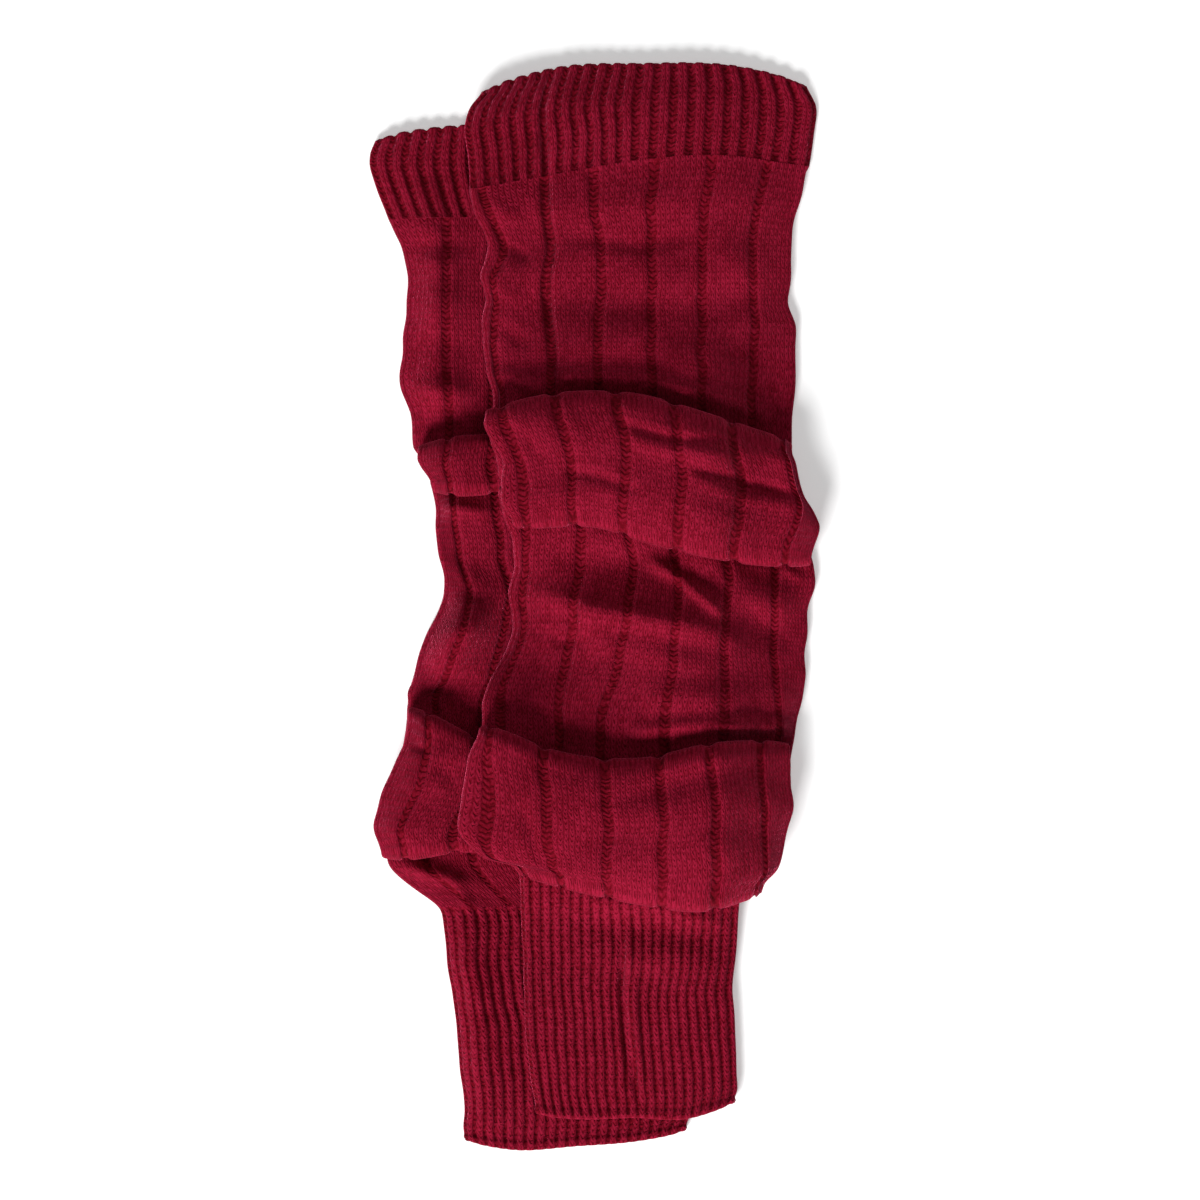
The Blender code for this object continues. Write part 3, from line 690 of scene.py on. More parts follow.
class RestingField:
    """How high cloth lies where it rests on the lower leg warmer, on an even grid."""

    CELL = 2.0
    HALF_SIZE = (130.0, 250.0)
    REACH_CELLS = (10, 8)
    BLUR_CELLS = (5, 4)

    def __init__(self, points: np.ndarray) -> None:
        """Spread the highest points outwards, then average them twice over half that window.

        Args:
            points: Points of the lower leg warmer's surface, in millimetres.
        """
        half_x, half_y = self.HALF_SIZE
        self.grid = np.zeros((int(2 * half_y / self.CELL), int(2 * half_x / self.CELL)))
        column = ((points[:, 0] + half_x) / self.CELL).astype(int)
        row = ((points[:, 1] + half_y) / self.CELL).astype(int)
        np.maximum.at(self.grid, (row, column), points[:, 2] + REST_GAP)
        blur = (np.mean, self.BLUR_CELLS)
        for combine, cells in ((np.max, self.REACH_CELLS), blur, blur):
            for axis, reach in enumerate(cells):
                shifts = range(-reach, reach + 1)
                self.grid = combine([np.roll(self.grid, shift, axis=axis) for shift in shifts],
                                    axis=0)

    def height(self, x: np.ndarray, y: np.ndarray) -> np.ndarray:
        """Read the height between the grid's cell centres, in proportion along X and Y."""
        half_x, half_y = self.HALF_SIZE
        column = (x + half_x) / self.CELL - 0.5
        row = (y + half_y) / self.CELL - 0.5
        left = np.floor(column).astype(int)
        low = np.floor(row).astype(int)
        over = column - left
        up = row - low
        lower = self.grid[low, left] * (1 - over) + self.grid[low, left + 1] * over
        upper = self.grid[low + 1, left] * (1 - over) + self.grid[low + 1, left + 1] * over
        return lower * (1 - up) + upper * up


@dataclass(frozen=True)
class Waves:
    """An unevenness of the cloth: the sum of some sine waves with seeded directions.

    Slouched cloth wrinkles across the leg, so most of the waves travel along it.
    """

    seed: int
    height: float = 0.42
    count: int = 16
    shortest: float = 11.0
    longest: float = 44.0
    spread: float = 0.55

    def lift(self, x: np.ndarray, y: np.ndarray) -> np.ndarray:
        """The rise at each place: waves of their own length, direction and phase, added up."""
        random = np.random.default_rng(self.seed)
        total = np.zeros_like(x)
        for _ in range(self.count):
            length = random.uniform(self.shortest, self.longest)
            heading = math.pi / 2 + random.normal(0.0, self.spread)
            phase = random.uniform(0.0, 2 * math.pi)
            travel = x * math.cos(heading) + y * math.sin(heading)
            total += np.sin(travel * 2 * math.pi / length + phase)
        return total * self.height / math.sqrt(self.count / 2)


class End(Enum):
    """How a piece ends: at an open mouth, or at a seam to the next piece."""

    MOUTH = "mouth"
    SEAM = "seam"


@dataclass
class Tube:
    """One piece of a leg warmer: a run of rings, ribbed in one way.

    The knots are the shares of the width that Path.shares moves, and the seam runs how far the
    ribs take to fade at the first and the last ring. The mouth's rounding is how far each added
    ring stands out and how much thinner the cloth is there.
    """

    node: str
    ribbing: Ribbing
    knots: np.ndarray
    ends: tuple[End, End]
    seam_runs: tuple[float, float] = (1.6, 1.6)
    side_steps: int = 6
    lining_columns: int = 44
    lining_every: int = 4
    least_turn: float = 0.1
    edge_power: int = 4
    scallop_run: float = 3.2
    corner_power: int = 14
    roll_place: float = 1.2
    roll_width: float = 1.3
    mouth_round: tuple[tuple[float, float], ...] = ((0.45, 0.12), (0.78, 0.45), (0.9, 0.9))
    round_starts: float = 0.3

    def surface(self, path: Path, ring: Ring, half: float, inset: float, relief: np.ndarray,
                warmer: "Warmer") -> np.ndarray:
        """Points of one face of the cloth, ring by ring.

        A point stands at its share of the flat width, moved off the middle of the cloth by the
        face's distance along the cloth's lean. The top panel also takes its swell, which is
        greatest in the middle, and its creases.

        Args:
            path: The rings' places.
            ring: What goes round each ring.
            half: Distance of the face from the middle of the tube.
            inset: How far the face lies inside the outer one at the edges.
            relief: How deep the face lies under its plain form, for each ring and point.
            warmer: The leg warmer, which gives the creases and what it rests on.

        Returns:
            Rings by points by X, Y and Z, in millimetres.
        """
        left = path.left[:, None] + inset + half
        right = path.right[:, None] - inset - half
        lean = path.lean[:, None]
        shifted = self.shifted(path, ring.across)
        window = 1.0 - (2.0 * ring.across - 1.0) ** self.edge_power
        radius = half - relief
        x = left + shifted * (right - left) + radius * ring.reach
        y = smooth_between(path.places, shifted)
        x = x + warmer.sway.lift(x, y) * window
        lift = warmer.lift(path, x, y) * np.clip(np.cos(lean), 0.0, 1.0) * window
        rise = np.maximum((path.swell[:, None] * window + lift) * warmer.kept_free(shifted),
                          -SLIT)
        offset = radius * ring.side + ring.top * rise
        y = y + np.sin(lean) * offset
        z = path.height[:, None] + np.cos(lean) * offset
        return np.stack([x, y + FOOTPRINT_SHIFT, z], axis=-1)

    def shifted(self, path: Path, share: np.ndarray) -> np.ndarray:
        """Move shares of the width to where the ribs run: straight between the knots."""
        index = np.clip(np.searchsorted(self.knots, share, side="right") - 1, 0,
                        len(self.knots) - 2)
        step = (share - self.knots[index]) / (self.knots[index + 1] - self.knots[index])
        return path.shares[:, index] * (1 - step) + path.shares[:, index + 1] * step

    def build(self, path: Path, warmer: "Warmer") -> bpy.types.Object:
        """Make the piece: the outer face, the lining inside it and the rims between them.

        Args:
            path: The rings of this piece.
            warmer: The leg warmer it belongs to.

        Returns:
            The piece's object, with its place in its mesh.
        """
        rib = self.ribbing
        wales = np.ptp(rib.wales_over(np.array(ENDS)))
        over, under = (np.linspace(0, 1, int(round(columns * wales)))
                       for columns in (rib.columns_per_wale, rib.under_columns_per_wale))
        outer_ring = Ring.round_tube(rib, over, under, self.side_steps)
        plain = np.linspace(0, 1, self.lining_columns)
        inner_ring = Ring.round_tube(rib, plain, plain, self.side_steps // 2)

        depth = rib.depth_at(outer_ring.wales[:-1])[None, :] * np.ones((len(path.left), 1))
        thin, beyond, path = self.rounded(path, depth, outer_ring.across)
        outer = self.surface(path, outer_ring, HALF, 0.0, thin, warmer)
        outer[..., 1] += beyond
        rings = np.unique(np.concatenate([
            np.arange(0, len(path.left), self.lining_every),
            np.flatnonzero(np.abs(np.sin(path.lean)) > self.least_turn)[::2],
            [len(path.left) - 1]]))
        lining = path.part(rings)
        inner = self.surface(lining, inner_ring, SLIT / 2, WALL, np.zeros((len(rings), 1)),
                             warmer)
        for points in (outer, inner):
            if warmer.rests_on is None:
                points[..., 2] = np.maximum(points[..., 2], 0.0)
            else:
                points[..., 2] += warmer.rests_on.height(points[..., 0], points[..., 1])
        return self.mesh(outer, inner, outer_ring, inner_ring, path.length / COURSE,
                         lining.length / COURSE)

    def rounded(self, path: Path, depth: np.ndarray,
                share: np.ndarray) -> tuple[np.ndarray, np.ndarray, Path]:
        """Round the cloth's ends: ribs that swell out at a mouth, and fade at a seam.

        Args:
            path: The rings of this piece.
            depth: How deep the face lies for each ring and point.
            share: Each point's share of the width.

        Returns:
            The depth with its ends thinned, how far each point moves along Y, and the path
            with the rings that round a mouth.
        """
        beyond = np.zeros_like(depth)
        rib_share = 1.0 - depth[:1] / self.ribbing.depth
        for end, place, way, run in ((self.ends[0], 0, 1.0, self.seam_runs[0]),
                                     (self.ends[1], -1, -1.0, self.seam_runs[1])):
            away = np.abs(path.length - path.length[place])[:, None]
            if end is End.SEAM or self.ribbing.roll:
                depth = depth * (1.0 - bell(away, run))
            if end is End.SEAM:
                continue
            depth = depth - self.ribbing.roll * bell(away - self.roll_place, self.roll_width)
            corner = np.abs(2.0 * share - 1.0)[None, :] ** self.corner_power
            out = self.ribbing.scallop * rib_share - self.ribbing.corner * corner
            beyond = beyond + way * out * np.exp(-away / self.scallop_run)
            kept = np.arange(len(path.left))
            plain = [kept, 0.0 * kept, 0.0 * kept]
            out, less = np.array(self.mouth_round).T
            added = [np.full(len(out), kept[place]), out, less]
            halves = (plain, added) if place else ([row[::-1] for row in added], plain)
            rings, out, less = (np.concatenate(pair) for pair in zip(*halves))
            path = path.part(rings)
            depth = depth[rings] * (less[:, None] < self.round_starts) + less[:, None]
            beyond = beyond[rings] + way * out[:, None]
        return depth, beyond, path

    def mesh(self, outer: np.ndarray, inner: np.ndarray, outer_ring: Ring, inner_ring: Ring,
             outer_courses: np.ndarray, inner_courses: np.ndarray) -> bpy.types.Object:
        """Put both faces and the two rims into one closed mesh, with stitches as its UVs.

        The edges round a seam are sharp, so the seam's gap stays crisp.

        Args:
            outer: Points of the outer face.
            inner: Points of the lining.
            outer_ring: The outer face's ring.
            inner_ring: The lining's ring.
            outer_courses: Courses knitted up to each outer ring.
            inner_courses: Courses knitted up to each lining ring.

        Returns:
            The object.
        """
        faces = []
        stitches = []
        start = 0
        for points, ring, courses in ((outer, outer_ring, outer_courses),
                                      (inner, inner_ring, inner_courses)):
            rings, count = points.shape[:2]
            here, column = np.meshgrid(np.arange(rings - 1), np.arange(count), indexing="ij")
            here, column = here.ravel(), column.ravel()
            beside = (column + 1) % count
            low, high = start + here * count, start + (here + 1) * count
            faces += np.stack([low + column, low + beside, high + beside, high + column],
                              axis=1).tolist()
            wales, following = ring.wales[column], ring.wales[column + 1]
            run, after = courses[here], courses[here + 1]
            stitches.append(np.stack([wales, run, following, run, following, after, wales,
                                      after], axis=1).reshape(-1, 2))
            start += rings * count
        outer_count, inner_count = outer.shape[1], inner.shape[1]
        inner_start = outer.shape[0] * outer_count
        seams = []
        for end, outer_first, inner_first, run in (
                (self.ends[0], 0, inner_start, outer_courses[0]),
                (self.ends[1], inner_start - outer_count, start - inner_count,
                 outer_courses[-1])):
            if end is End.SEAM:
                seams.append(outer_first)
            rim, rim_wales = fan_between(outer_ring, inner_ring, outer_first, inner_first)
            faces += rim.tolist()
            stitches.append(np.stack([rim_wales, np.full_like(rim_wales, run)],
                                     axis=-1).reshape(-1, 2))
        mesh = bpy.data.meshes.new(self.node)
        points = np.concatenate([outer.reshape(-1, 3), inner.reshape(-1, 3)]) * MM
        mesh.from_pydata(points.tolist(), [], faces)
        uvs = mesh.uv_layers.new(name="stitches")
        uvs.data.foreach_set("uv", np.concatenate(stitches).astype(np.float32).ravel())
        working = bmesh.new()
        working.from_mesh(mesh)
        bmesh.ops.recalc_face_normals(working, faces=working.faces)
        if working.calc_volume(signed=True) < 0:
            bmesh.ops.reverse_faces(working, faces=working.faces)
        working.to_mesh(mesh)
        working.free()
        mesh.shade_smooth()
        edges = np.empty(2 * len(mesh.edges), dtype=np.int32)
        mesh.edges.foreach_get("vertices", edges)
        edges = edges.reshape(-1, 2)
        sharp = np.zeros(len(edges), dtype=bool)
        for first in seams:
            sharp |= np.all((edges >= first) & (edges < first + outer_count), axis=1)
        mesh.edges.foreach_set("use_edge_sharp", sharp)
        return placed(self.node + "_knit", mesh)


def fan_between(outer: Ring, inner: Ring, outer_first: int,
                inner_first: int) -> tuple[np.ndarray, np.ndarray]:
    """Close the gap between two rings with triangles, each edge joined to the nearest point.

    Args:
        outer: The finer ring.
        inner: The coarser ring.
        outer_first: Index of the finer ring's first point.
        inner_first: Index of the coarser ring's first point.

    Returns:
        The triangles, and the wale counts of their corners.
    """
    outer_count, inner_count = len(outer.order), len(inner.order)
    ring_end = 4.0
    middles, inner_middles = ((ring.order + np.append(ring.order[1:], ring_end)) / 2
                              for ring in (outer, inner))
    owner = np.searchsorted(inner_middles, middles)
    place = np.arange(outer_count)
    outward = np.stack([outer_first + place, inner_first + owner % inner_count,
                        outer_first + (place + 1) % outer_count], axis=1)
    outward_wales = np.stack([outer.wales[place], inner.wales[owner],
                              outer.wales[place + 1]], axis=1)
    inner_place = np.arange(inner_count)
    joined = np.searchsorted(middles, inner_middles)
    inward = np.stack([inner_first + inner_place, inner_first + (inner_place + 1) % inner_count,
                       outer_first + joined % outer_count], axis=1)
    inward_wales = np.stack([inner.wales[inner_place], inner.wales[inner_place + 1],
                             outer.wales[joined]], axis=1)
    return np.concatenate([outward, inward]), np.concatenate([outward_wales, inward_wales])


@dataclass
class Warmer:
    """One leg warmer: three tables of rows, its channels, its creases and its pieces.

    fullness multiplies the swell of the rows outside and inside the bands. pressed says how
    full the free side is, and between which shares of the width the upper leg warmer's weight
    takes the swell away. The channel values are how near an edge a channel may run, how often
    its place is worked out again, and how far it is softened along the cloth.
    """

    name: str
    top_cuff: tuple[Row, ...]
    leg: tuple[Row, ...]
    ankle_cuff: tuple[Row, ...]
    channels: dict[Stretch, tuple]
    creases: dict[Stretch, tuple[Crease, ...]]
    waves: Waves
    spacing: Spacing = Spacing()
    outline: tuple[Waves, Waves] = tuple(
        Waves(seed, height=0.45, count=12, longest=46.0, spread=0.0) for seed in (21, 22))
    calm_run: float = 18.0
    calm: float = 0.3
    sway: Waves = Waves(3, height=0.35, count=10, shortest=16.0, longest=60.0, spread=1.2)
    rests_on: RestingField | None = None
    fullness: tuple[float, float] = (2.2, 1.6)
    cuff_fullness: float = 1.2
    pressed: tuple[float, float, float] | None = None
    leg_ribbing: Ribbing = LEG_RIBBING
    top_cuff_shares: tuple[float, ...] = QUARTERS
    leg_seam_runs: tuple[float, float] = (1.6, 18.0)
    channel_limits: tuple[float, float] = (0.012, 0.988)
    channel_rounds: int = 3
    channel_soften: float = 4.0
    lengths: dict[str, float] = field(default_factory=dict)
    leg_run: tuple[float, float] = (0.0, 0.0)

    def follow(self) -> tuple[Path, list[int]]:
        """Follow the tube down all three tables, round each turn in equal angles.

        Round a turn the middle of the cloth lies on a half circle: its place is the circle's
        centre plus the nose direction times the radius times the sine of the angle, and its
        height grows by the radius times one minus the cosine.

        Returns:
            The path, and the index of the first ring of the leg and of the ankle cuff.
        """
        keys = []
        seams = []
        height = HALF
        stretch = 0
        turn_count = 0
        for table in (self.top_cuff, self.leg, self.ankle_cuff):
            if keys:
                seams.append(len(keys) - 1)
            for row in table[1 if keys else 0:]:
                places = np.array(row.places)
                shown = row.turn in (Turn.CREST, Turn.BROW)
                in_band = shown or stretch in (Stretch.BAND_ONE, Stretch.BAND_TWO)
                puff = row.puff * (self.fullness[in_band] if table is self.leg
                                   else self.cuff_fullness)
                if row.turn is Turn.LIE:
                    keys.append((row.left, row.right, *places, height, 0.0, puff, stretch,
                                 NO_TURN))
                    continue
                nose, climb = row.turn.value
                centre = places - nose * (TURN_RADIUS + HALF + puff / 2)
                steps = self.spacing.edge_steps if shown else self.spacing.hidden_steps
                for angle in np.linspace(0.0, math.pi, steps + 1):
                    along = centre + nose * TURN_RADIUS * math.sin(angle)
                    rise = height + climb * TURN_RADIUS * (1.0 - math.cos(angle))
                    lean = climb * (angle if nose < 0 else math.pi - angle)
                    swell = puff * (1.0 - climb * math.cos(angle)) / 2
                    keys.append((row.left, row.right, *along, rise, lean, swell,
                                 stretch + (angle > math.pi / 2), turn_count))
                height += climb * 2 * TURN_RADIUS
                stretch += 1
                turn_count += 1
        return self.finer(np.array(keys), seams)

    def finer(self, keys: np.ndarray, seams: list[int]) -> tuple[Path, list[int]]:
        """Add rings between the rows, straight between them, and soften the edges.

        Args:
            keys: One line for each row or step of a turn.
            seams: Lines where a piece ends and the next begins.

        Returns:
            The path, and the indices of the rings at the seams.
        """
        lines = [keys[0]]
        seam_rings = []
        for number, (start, end) in enumerate(zip(keys, keys[1:])):
            if number in seams:
                seam_rings.append(len(lines) - 1)
            run = np.max(np.abs(end[PLACES] - start[PLACES]))
            in_turn = start[TURN] != NO_TURN and start[TURN] == end[TURN]
            hidden = start[STRETCH] % 2 == 1 and end[STRETCH] % 2 == 1
            gap = self.spacing.hidden if hidden else self.spacing.shown
            steps = 1 if in_turn else max(1, math.ceil(run / gap))
            for share in (np.arange(steps) + 1) / steps:
                line = start + (end - start) * share
                line[STRETCH] = start[STRETCH] if share < 1 else end[STRETCH]
                lines.append(line)
        lines = np.array(lines)
        steps = np.hypot(np.diff(lines[:, PLACES].mean(axis=1)), np.diff(lines[:, HEIGHT]))
        length = np.concatenate([[0.0], np.cumsum(steps)])
        weights = weights_along(length, self.spacing.soften)
        self.leg_run = (length[seam_rings[0]], length[seam_rings[1]])
        calm = self.calm_at(length)
        left, right = (weights @ lines[:, side] + calm * waves.lift(0 * length, length)
                       for side, waves in enumerate(self.outline))
        path = Path(left, right, lines[:, PLACES], lines[:, HEIGHT], lines[:, LEAN],
                    weights @ lines[:, SWELL], lines[:, STRETCH].astype(int), length,
                    np.zeros((len(lines), 1)))
        return path, seam_rings

    def kept_free(self, share: np.ndarray) -> np.ndarray:
        """The share of the swell that is left where the upper leg warmer presses on the cloth.

        It eases off from the fullness of the free side to nothing.
        """
        if self.pressed is None:
            return np.ones_like(share)
        free, start, end = self.pressed
        return free * eased((share - start) / (end - start))

    def calm_at(self, length: np.ndarray) -> np.ndarray:
        """How much of the waves a ring takes: all in the leg, and little in the cuffs."""
        start, end = self.leg_run
        inside = np.clip(np.minimum(length - start, end - length) / self.calm_run, 0.0, 1.0)
        return self.calm + (1.0 - self.calm) * inside

    def channel_shares(self, path: Path) -> np.ndarray:
        """Where the ribs' grooves run across each ring, as shares of its width.

        In each stretch that shows, a groove's share is its measured place along X, less the
        left edge, over the width. Between two such stretches it changes evenly along the cloth.

        Args:
            path: The followed tube.

        Returns:
            For each ring the left edge, the six grooves and the right edge.
        """
        even = self.leg_ribbing.grooves()
        grooves = np.tile(even, (len(path.left), 1))
        known = np.zeros(len(path.left), bool)
        for stretch, lines in self.channels.items():
            rings = np.flatnonzero(path.stretch == stretch)
            known[rings] = True
            width = path.right[rings] - path.left[rings] - 2 * HALF
            for number, pixels in enumerate(lines):
                line = on_surface(pixels)[::-1]
                share = np.full(len(rings), even[number])
                for _ in range(self.channel_rounds):
                    y = smooth_between(path.places[rings], share[:, None])[:, 0]
                    x = np.interp(y, line[:, 1], line[:, 0])
                    share = np.clip((x - path.left[rings] - HALF) / width,
                                    *self.channel_limits)
                grooves[rings, number] = share
            if len(lines) < len(even):
                moved = share - even[number]
                beyond = 1.0 - even[number + 1:]
                grooves[rings, number + 1:] += moved[:, None] * beyond / (1.0 - even[number])
        known |= path.stretch >= Stretch.ANKLE
        for number in range(CHANNEL_COUNT):
            grooves[:, number] = np.interp(path.length, path.length[known],
                                           grooves[known, number])
        grooves = weights_along(path.length, self.channel_soften) @ grooves
        ones = np.ones((len(grooves), 1))
        return np.concatenate([0 * ones, grooves, ones], axis=1)

    def lift(self, path: Path, x: np.ndarray, y: np.ndarray) -> np.ndarray:
        """The creases' and waves' rise at each point, each crease in its own stretch alone."""
        total = self.waves.lift(x, y) * self.calm_at(path.length)[:, None]
        for stretch, creases in self.creases.items():
            rings = np.flatnonzero(path.stretch == stretch)
            for crease in creases:
                total[rings] += crease.lift(x[rings], y[rings])
        return total

    def plain_points(self) -> np.ndarray:
        """Points of the tube's plain surface, for cloth that rests on it."""
        path, _ = self.follow()
        even = np.linspace(*ENDS, PLAIN_COLUMNS)
        ring = Ring.round_tube(LEG_RIBBING, even, even, 2)
        tube = Tube("plain", LEG_RIBBING, np.array(ENDS), (End.MOUTH, End.MOUTH))
        path = replace(path, shares=np.tile(np.array(ENDS), (len(path.left), 1)))
        calm = Waves(0, height=0.0)
        still = Warmer("still", (), (), (), {}, {}, calm, sway=calm, pressed=self.pressed)
        points = tube.surface(path, ring, HALF, 0.0, np.zeros((len(path.left), 1)), still)
        return points.reshape(-1, 3)

    def build(self) -> list[bpy.types.Object]:
        """Build the top cuff, the leg and the ankle cuff.

        Returns:
            The three pieces.
        """
        path, (leg_start, ankle_start) = self.follow()
        leg_knots = np.concatenate([[0.0], self.leg_ribbing.grooves(), [1.0]])
        rings = np.arange(len(path.left))
        ones = np.ones((len(rings), 1))
        quarters = np.array(QUARTERS)
        cuffs = [Tube(f"{self.name}_{part}", ribbing, quarters, ends)
                 for part, ribbing, ends in (
                     ("top_cuff", TOP_CUFF_RIBBING, (End.MOUTH, End.SEAM)),
                     ("ankle_cuff", ANKLE_CUFF_RIBBING, (End.SEAM, End.MOUTH)))]
        leg = Tube(f"{self.name}_leg", self.leg_ribbing, leg_knots, (End.SEAM, End.SEAM),
                   self.leg_seam_runs)
        pieces = []
        for tube, first, last, shares in (
                (cuffs[0], 0, leg_start, ones * np.array(self.top_cuff_shares)),
                (leg, leg_start, ankle_start, self.channel_shares(path)),
                (cuffs[1], ankle_start, rings[-1], ones * quarters)):
            kept = rings[first:last + 1]
            run = replace(path.part(kept), shares=shares[kept])
            self.lengths[tube.node] = float(np.ptp(run.length))
            pieces.append(tube.build(run, self))
        return pieces


@dataclass(frozen=True)
class KnitFinish:
    """A matte, slightly fuzzy wool finish with the stitches of one way of knitting.

    Heights are shares of a plain stitch's. A noise is its scale, in times to the metre or to
    the stitch, and its detail. The shade values say how much each thing moves the colour from
    the shade, at 0, through the middle one to the full colour, at 1. The stitch's height and
    the purl wales move it as painted shade, darker in the hollows between stitches and in the
    channels; the fibres, the chance and the cloud are the yarn's random tone. wander and
    strand are for the wale and the course.
    """

    name: str
    rib: Rib
    colour: tuple[float, float, float] = (0.258, 0.0066, 0.0272)
    middle: tuple[float, float, float] = (0.125, 0.0009, 0.0068)
    # The colour at 0: the darkest random tone, and the painted shade in the stitch hollows and
    # channels
    shade: tuple[float, float, float] = (0.040, 0.0001, 0.0012)
    fuzz: tuple[float, float, float] = (0.95, 0.11, 0.23)
    surface: tuple[tuple[str, float], ...] = (
        ("Roughness", 0.92), ("Metallic", 0.0), ("Specular IOR Level", 0.05),
        ("Sheen Weight", 0.54), ("Sheen Roughness", 0.30))
    bump_depth: float = 0.0005
    wander_noise: tuple[float, float] = (420.0, 2.0)
    wander: tuple[float, float] = (0.7, 1.3)
    chevron: float = 1.0
    gap_depth: float = 0.50
    gap_power: float = 3.0
    crotch_depth: float = 0.66
    crotch_power: float = 2.0
    between_depth: float = 0.10
    slant: float = 0.55
    purl_height: float = 0.50
    purl_floor: float = 0.22
    strand: tuple[float, float] = (3.0, 1.2)
    strand_noise: tuple[float, float] = (1.0, 2.0)
    fibre_noise: tuple[float, float] = (1100.0, 4.0)
    fibre_height: float = 0.30
    cloud_noise: tuple[float, float] = (26.0, 3.0)
    base_shade: float = -0.40
    fibre_shade: float = 1.30
    # Painted shade: the low parts of a stitch, between wales and in a V's crotch, are coloured
    # darker
    stitch_painted_shade: float = 0.80
    # Painted shade: the purl channels, which are grooves in the cloth, are coloured darker
    purl_painted_shade: float = 0.10
    chance_shade: float = 0.20
    cloud_shade: float = 0.25
    repeats_ahead: int = 10

    def material(self) -> bpy.types.Material:
        """Build the finish from the piece's stitch counts. Purl wales start each repeat.

        Returns:
            The material.
        """
        material = bpy.data.materials.new(self.name)
        material.use_nodes = True
        material.diffuse_color = (*self.colour, 1.0)
        nodes = Nodes(material.node_tree)
        shader = material.node_tree.nodes["Principled BSDF"]
        place = nodes.add("ShaderNodeTexCoord").outputs["Object"]
        wale, course = self.counts(nodes, place)
        repeat = self.rib.repeat
        within = nodes.math("MODULO", nodes.plus(wale, float(repeat * self.repeats_ahead)),
                            float(repeat))
        is_purl = nodes.math("LESS_THAN", within, float(self.rib.purl))
        stitch = nodes.mix_value(is_purl, self.plain(nodes, wale, course),
                                 self.purl(nodes, within, course))
        fibre = self.fibre(nodes, place, wale, course)

        bump = nodes.add("ShaderNodeBump")
        bump.inputs["Strength"].default_value = 1.0
        bump.inputs["Distance"].default_value = self.bump_depth
        nodes.join(nodes.plus(stitch, nodes.times(fibre, self.fibre_height)),
                   bump.inputs["Height"])
        nodes.join(bump.outputs["Normal"], shader.inputs["Normal"])

        cloud = nodes.minus(nodes.noise(place, *self.cloud_noise), 0.5)
        shown = nodes.scaled(fibre, self.fibre_shade, self.base_shade)
        # Painted shade: the lower a stitch lies, the darker its colour, in the hollows between
        # stitches
        shown = nodes.scaled(stitch, self.stitch_painted_shade, shown)
        # Painted shade: the purl channels are coloured darker, as shade in their grooves
        shown = nodes.minus(shown, nodes.times(is_purl, self.purl_painted_shade))
        shown = nodes.minus(shown, nodes.times(nodes.chance(wale, course), self.chance_shade))
        shown = nodes.plus(shown, nodes.times(cloud, self.cloud_shade))
        nodes.join(nodes.ramp(shown, self.shade, self.middle, self.colour),
                   shader.inputs["Base Color"])
        for socket, value in (*self.surface, ("Sheen Tint", (*self.fuzz, 1.0))):
            shader.inputs[socket].default_value = value
        return material

    def counts(self, nodes: "Nodes", place: Socket) -> tuple[Socket, Socket]:
        """Read the wale and the course from the stitch counts, and let both wander a little.

        Args:
            nodes: The material's nodes.
            place: The place on the object.

        Returns:
            The wale and the course.
        """
        uv = nodes.add("ShaderNodeUVMap")
        uv.uv_map = "stitches"
        split = nodes.add("ShaderNodeSeparateXYZ")
        nodes.join(uv.outputs["UV"], split.inputs["Vector"])
        off = nodes.minus(nodes.noise(place, *self.wander_noise), 0.5)
        wale, course = (nodes.plus(split.outputs[axis], nodes.times(off, share))
                        for axis, share in zip("XY", self.wander))
        return wale, course

    def plain(self, nodes: "Nodes", wale: Socket, course: Socket) -> Socket:
        """A plain stitch, which is a V whose two legs rise from the middle of the wale.

        A leg's height is the sine of the course count plus the distance from the wale's
        middle. The stitch is lower between two Vs, between two wales and in a V's crotch.

        Args:
            nodes: The material's nodes.
            wale: The wale count.
            course: The course count.

        Returns:
            The stitch's height.
        """
        off = nodes.math("ABSOLUTE", nodes.minus(nodes.math("FRACT", wale), 0.5))
        off = nodes.times(off, 2.0)
        between = nodes.minus(1.0, nodes.hump(nodes.plus(course, nodes.times(off, self.chevron))))
        gap = nodes.math("POWER", off, self.gap_power)
        crotch = nodes.math("POWER", nodes.minus(1.0, off), self.crotch_power)
        height = nodes.scaled(gap, -self.gap_depth, 1.0)
        height = nodes.scaled(nodes.times(crotch, between), -self.crotch_depth, height)
        return nodes.scaled(between, -self.between_depth, height)

    def purl(self, nodes: "Nodes", within: Socket, course: Socket) -> Socket:
        """A purl stitch, which is a low bar that slants away from the channel's middle."""
        beside = nodes.math("ABSOLUTE", nodes.minus(within, self.rib.purl / 2))
        bar = nodes.hump(nodes.plus(course, nodes.times(beside, self.slant)))
        return nodes.scaled(bar, self.purl_height, self.purl_floor)

    def fibre(self, nodes: "Nodes", place: Socket, wale: Socket, course: Socket) -> Socket:
        """Fine random fibres: the mean of strands along the stitches and of loose fuzz."""
        strand = nodes.add("ShaderNodeCombineXYZ")
        for axis, count, share in zip("XY", (wale, course), self.strand):
            nodes.join(nodes.times(count, share), strand.inputs[axis])
        strands = nodes.noise(strand.outputs["Vector"], *self.strand_noise)
        fuzz = nodes.noise(place, *self.fibre_noise)
        return nodes.times(nodes.plus(strands, fuzz), 0.5)


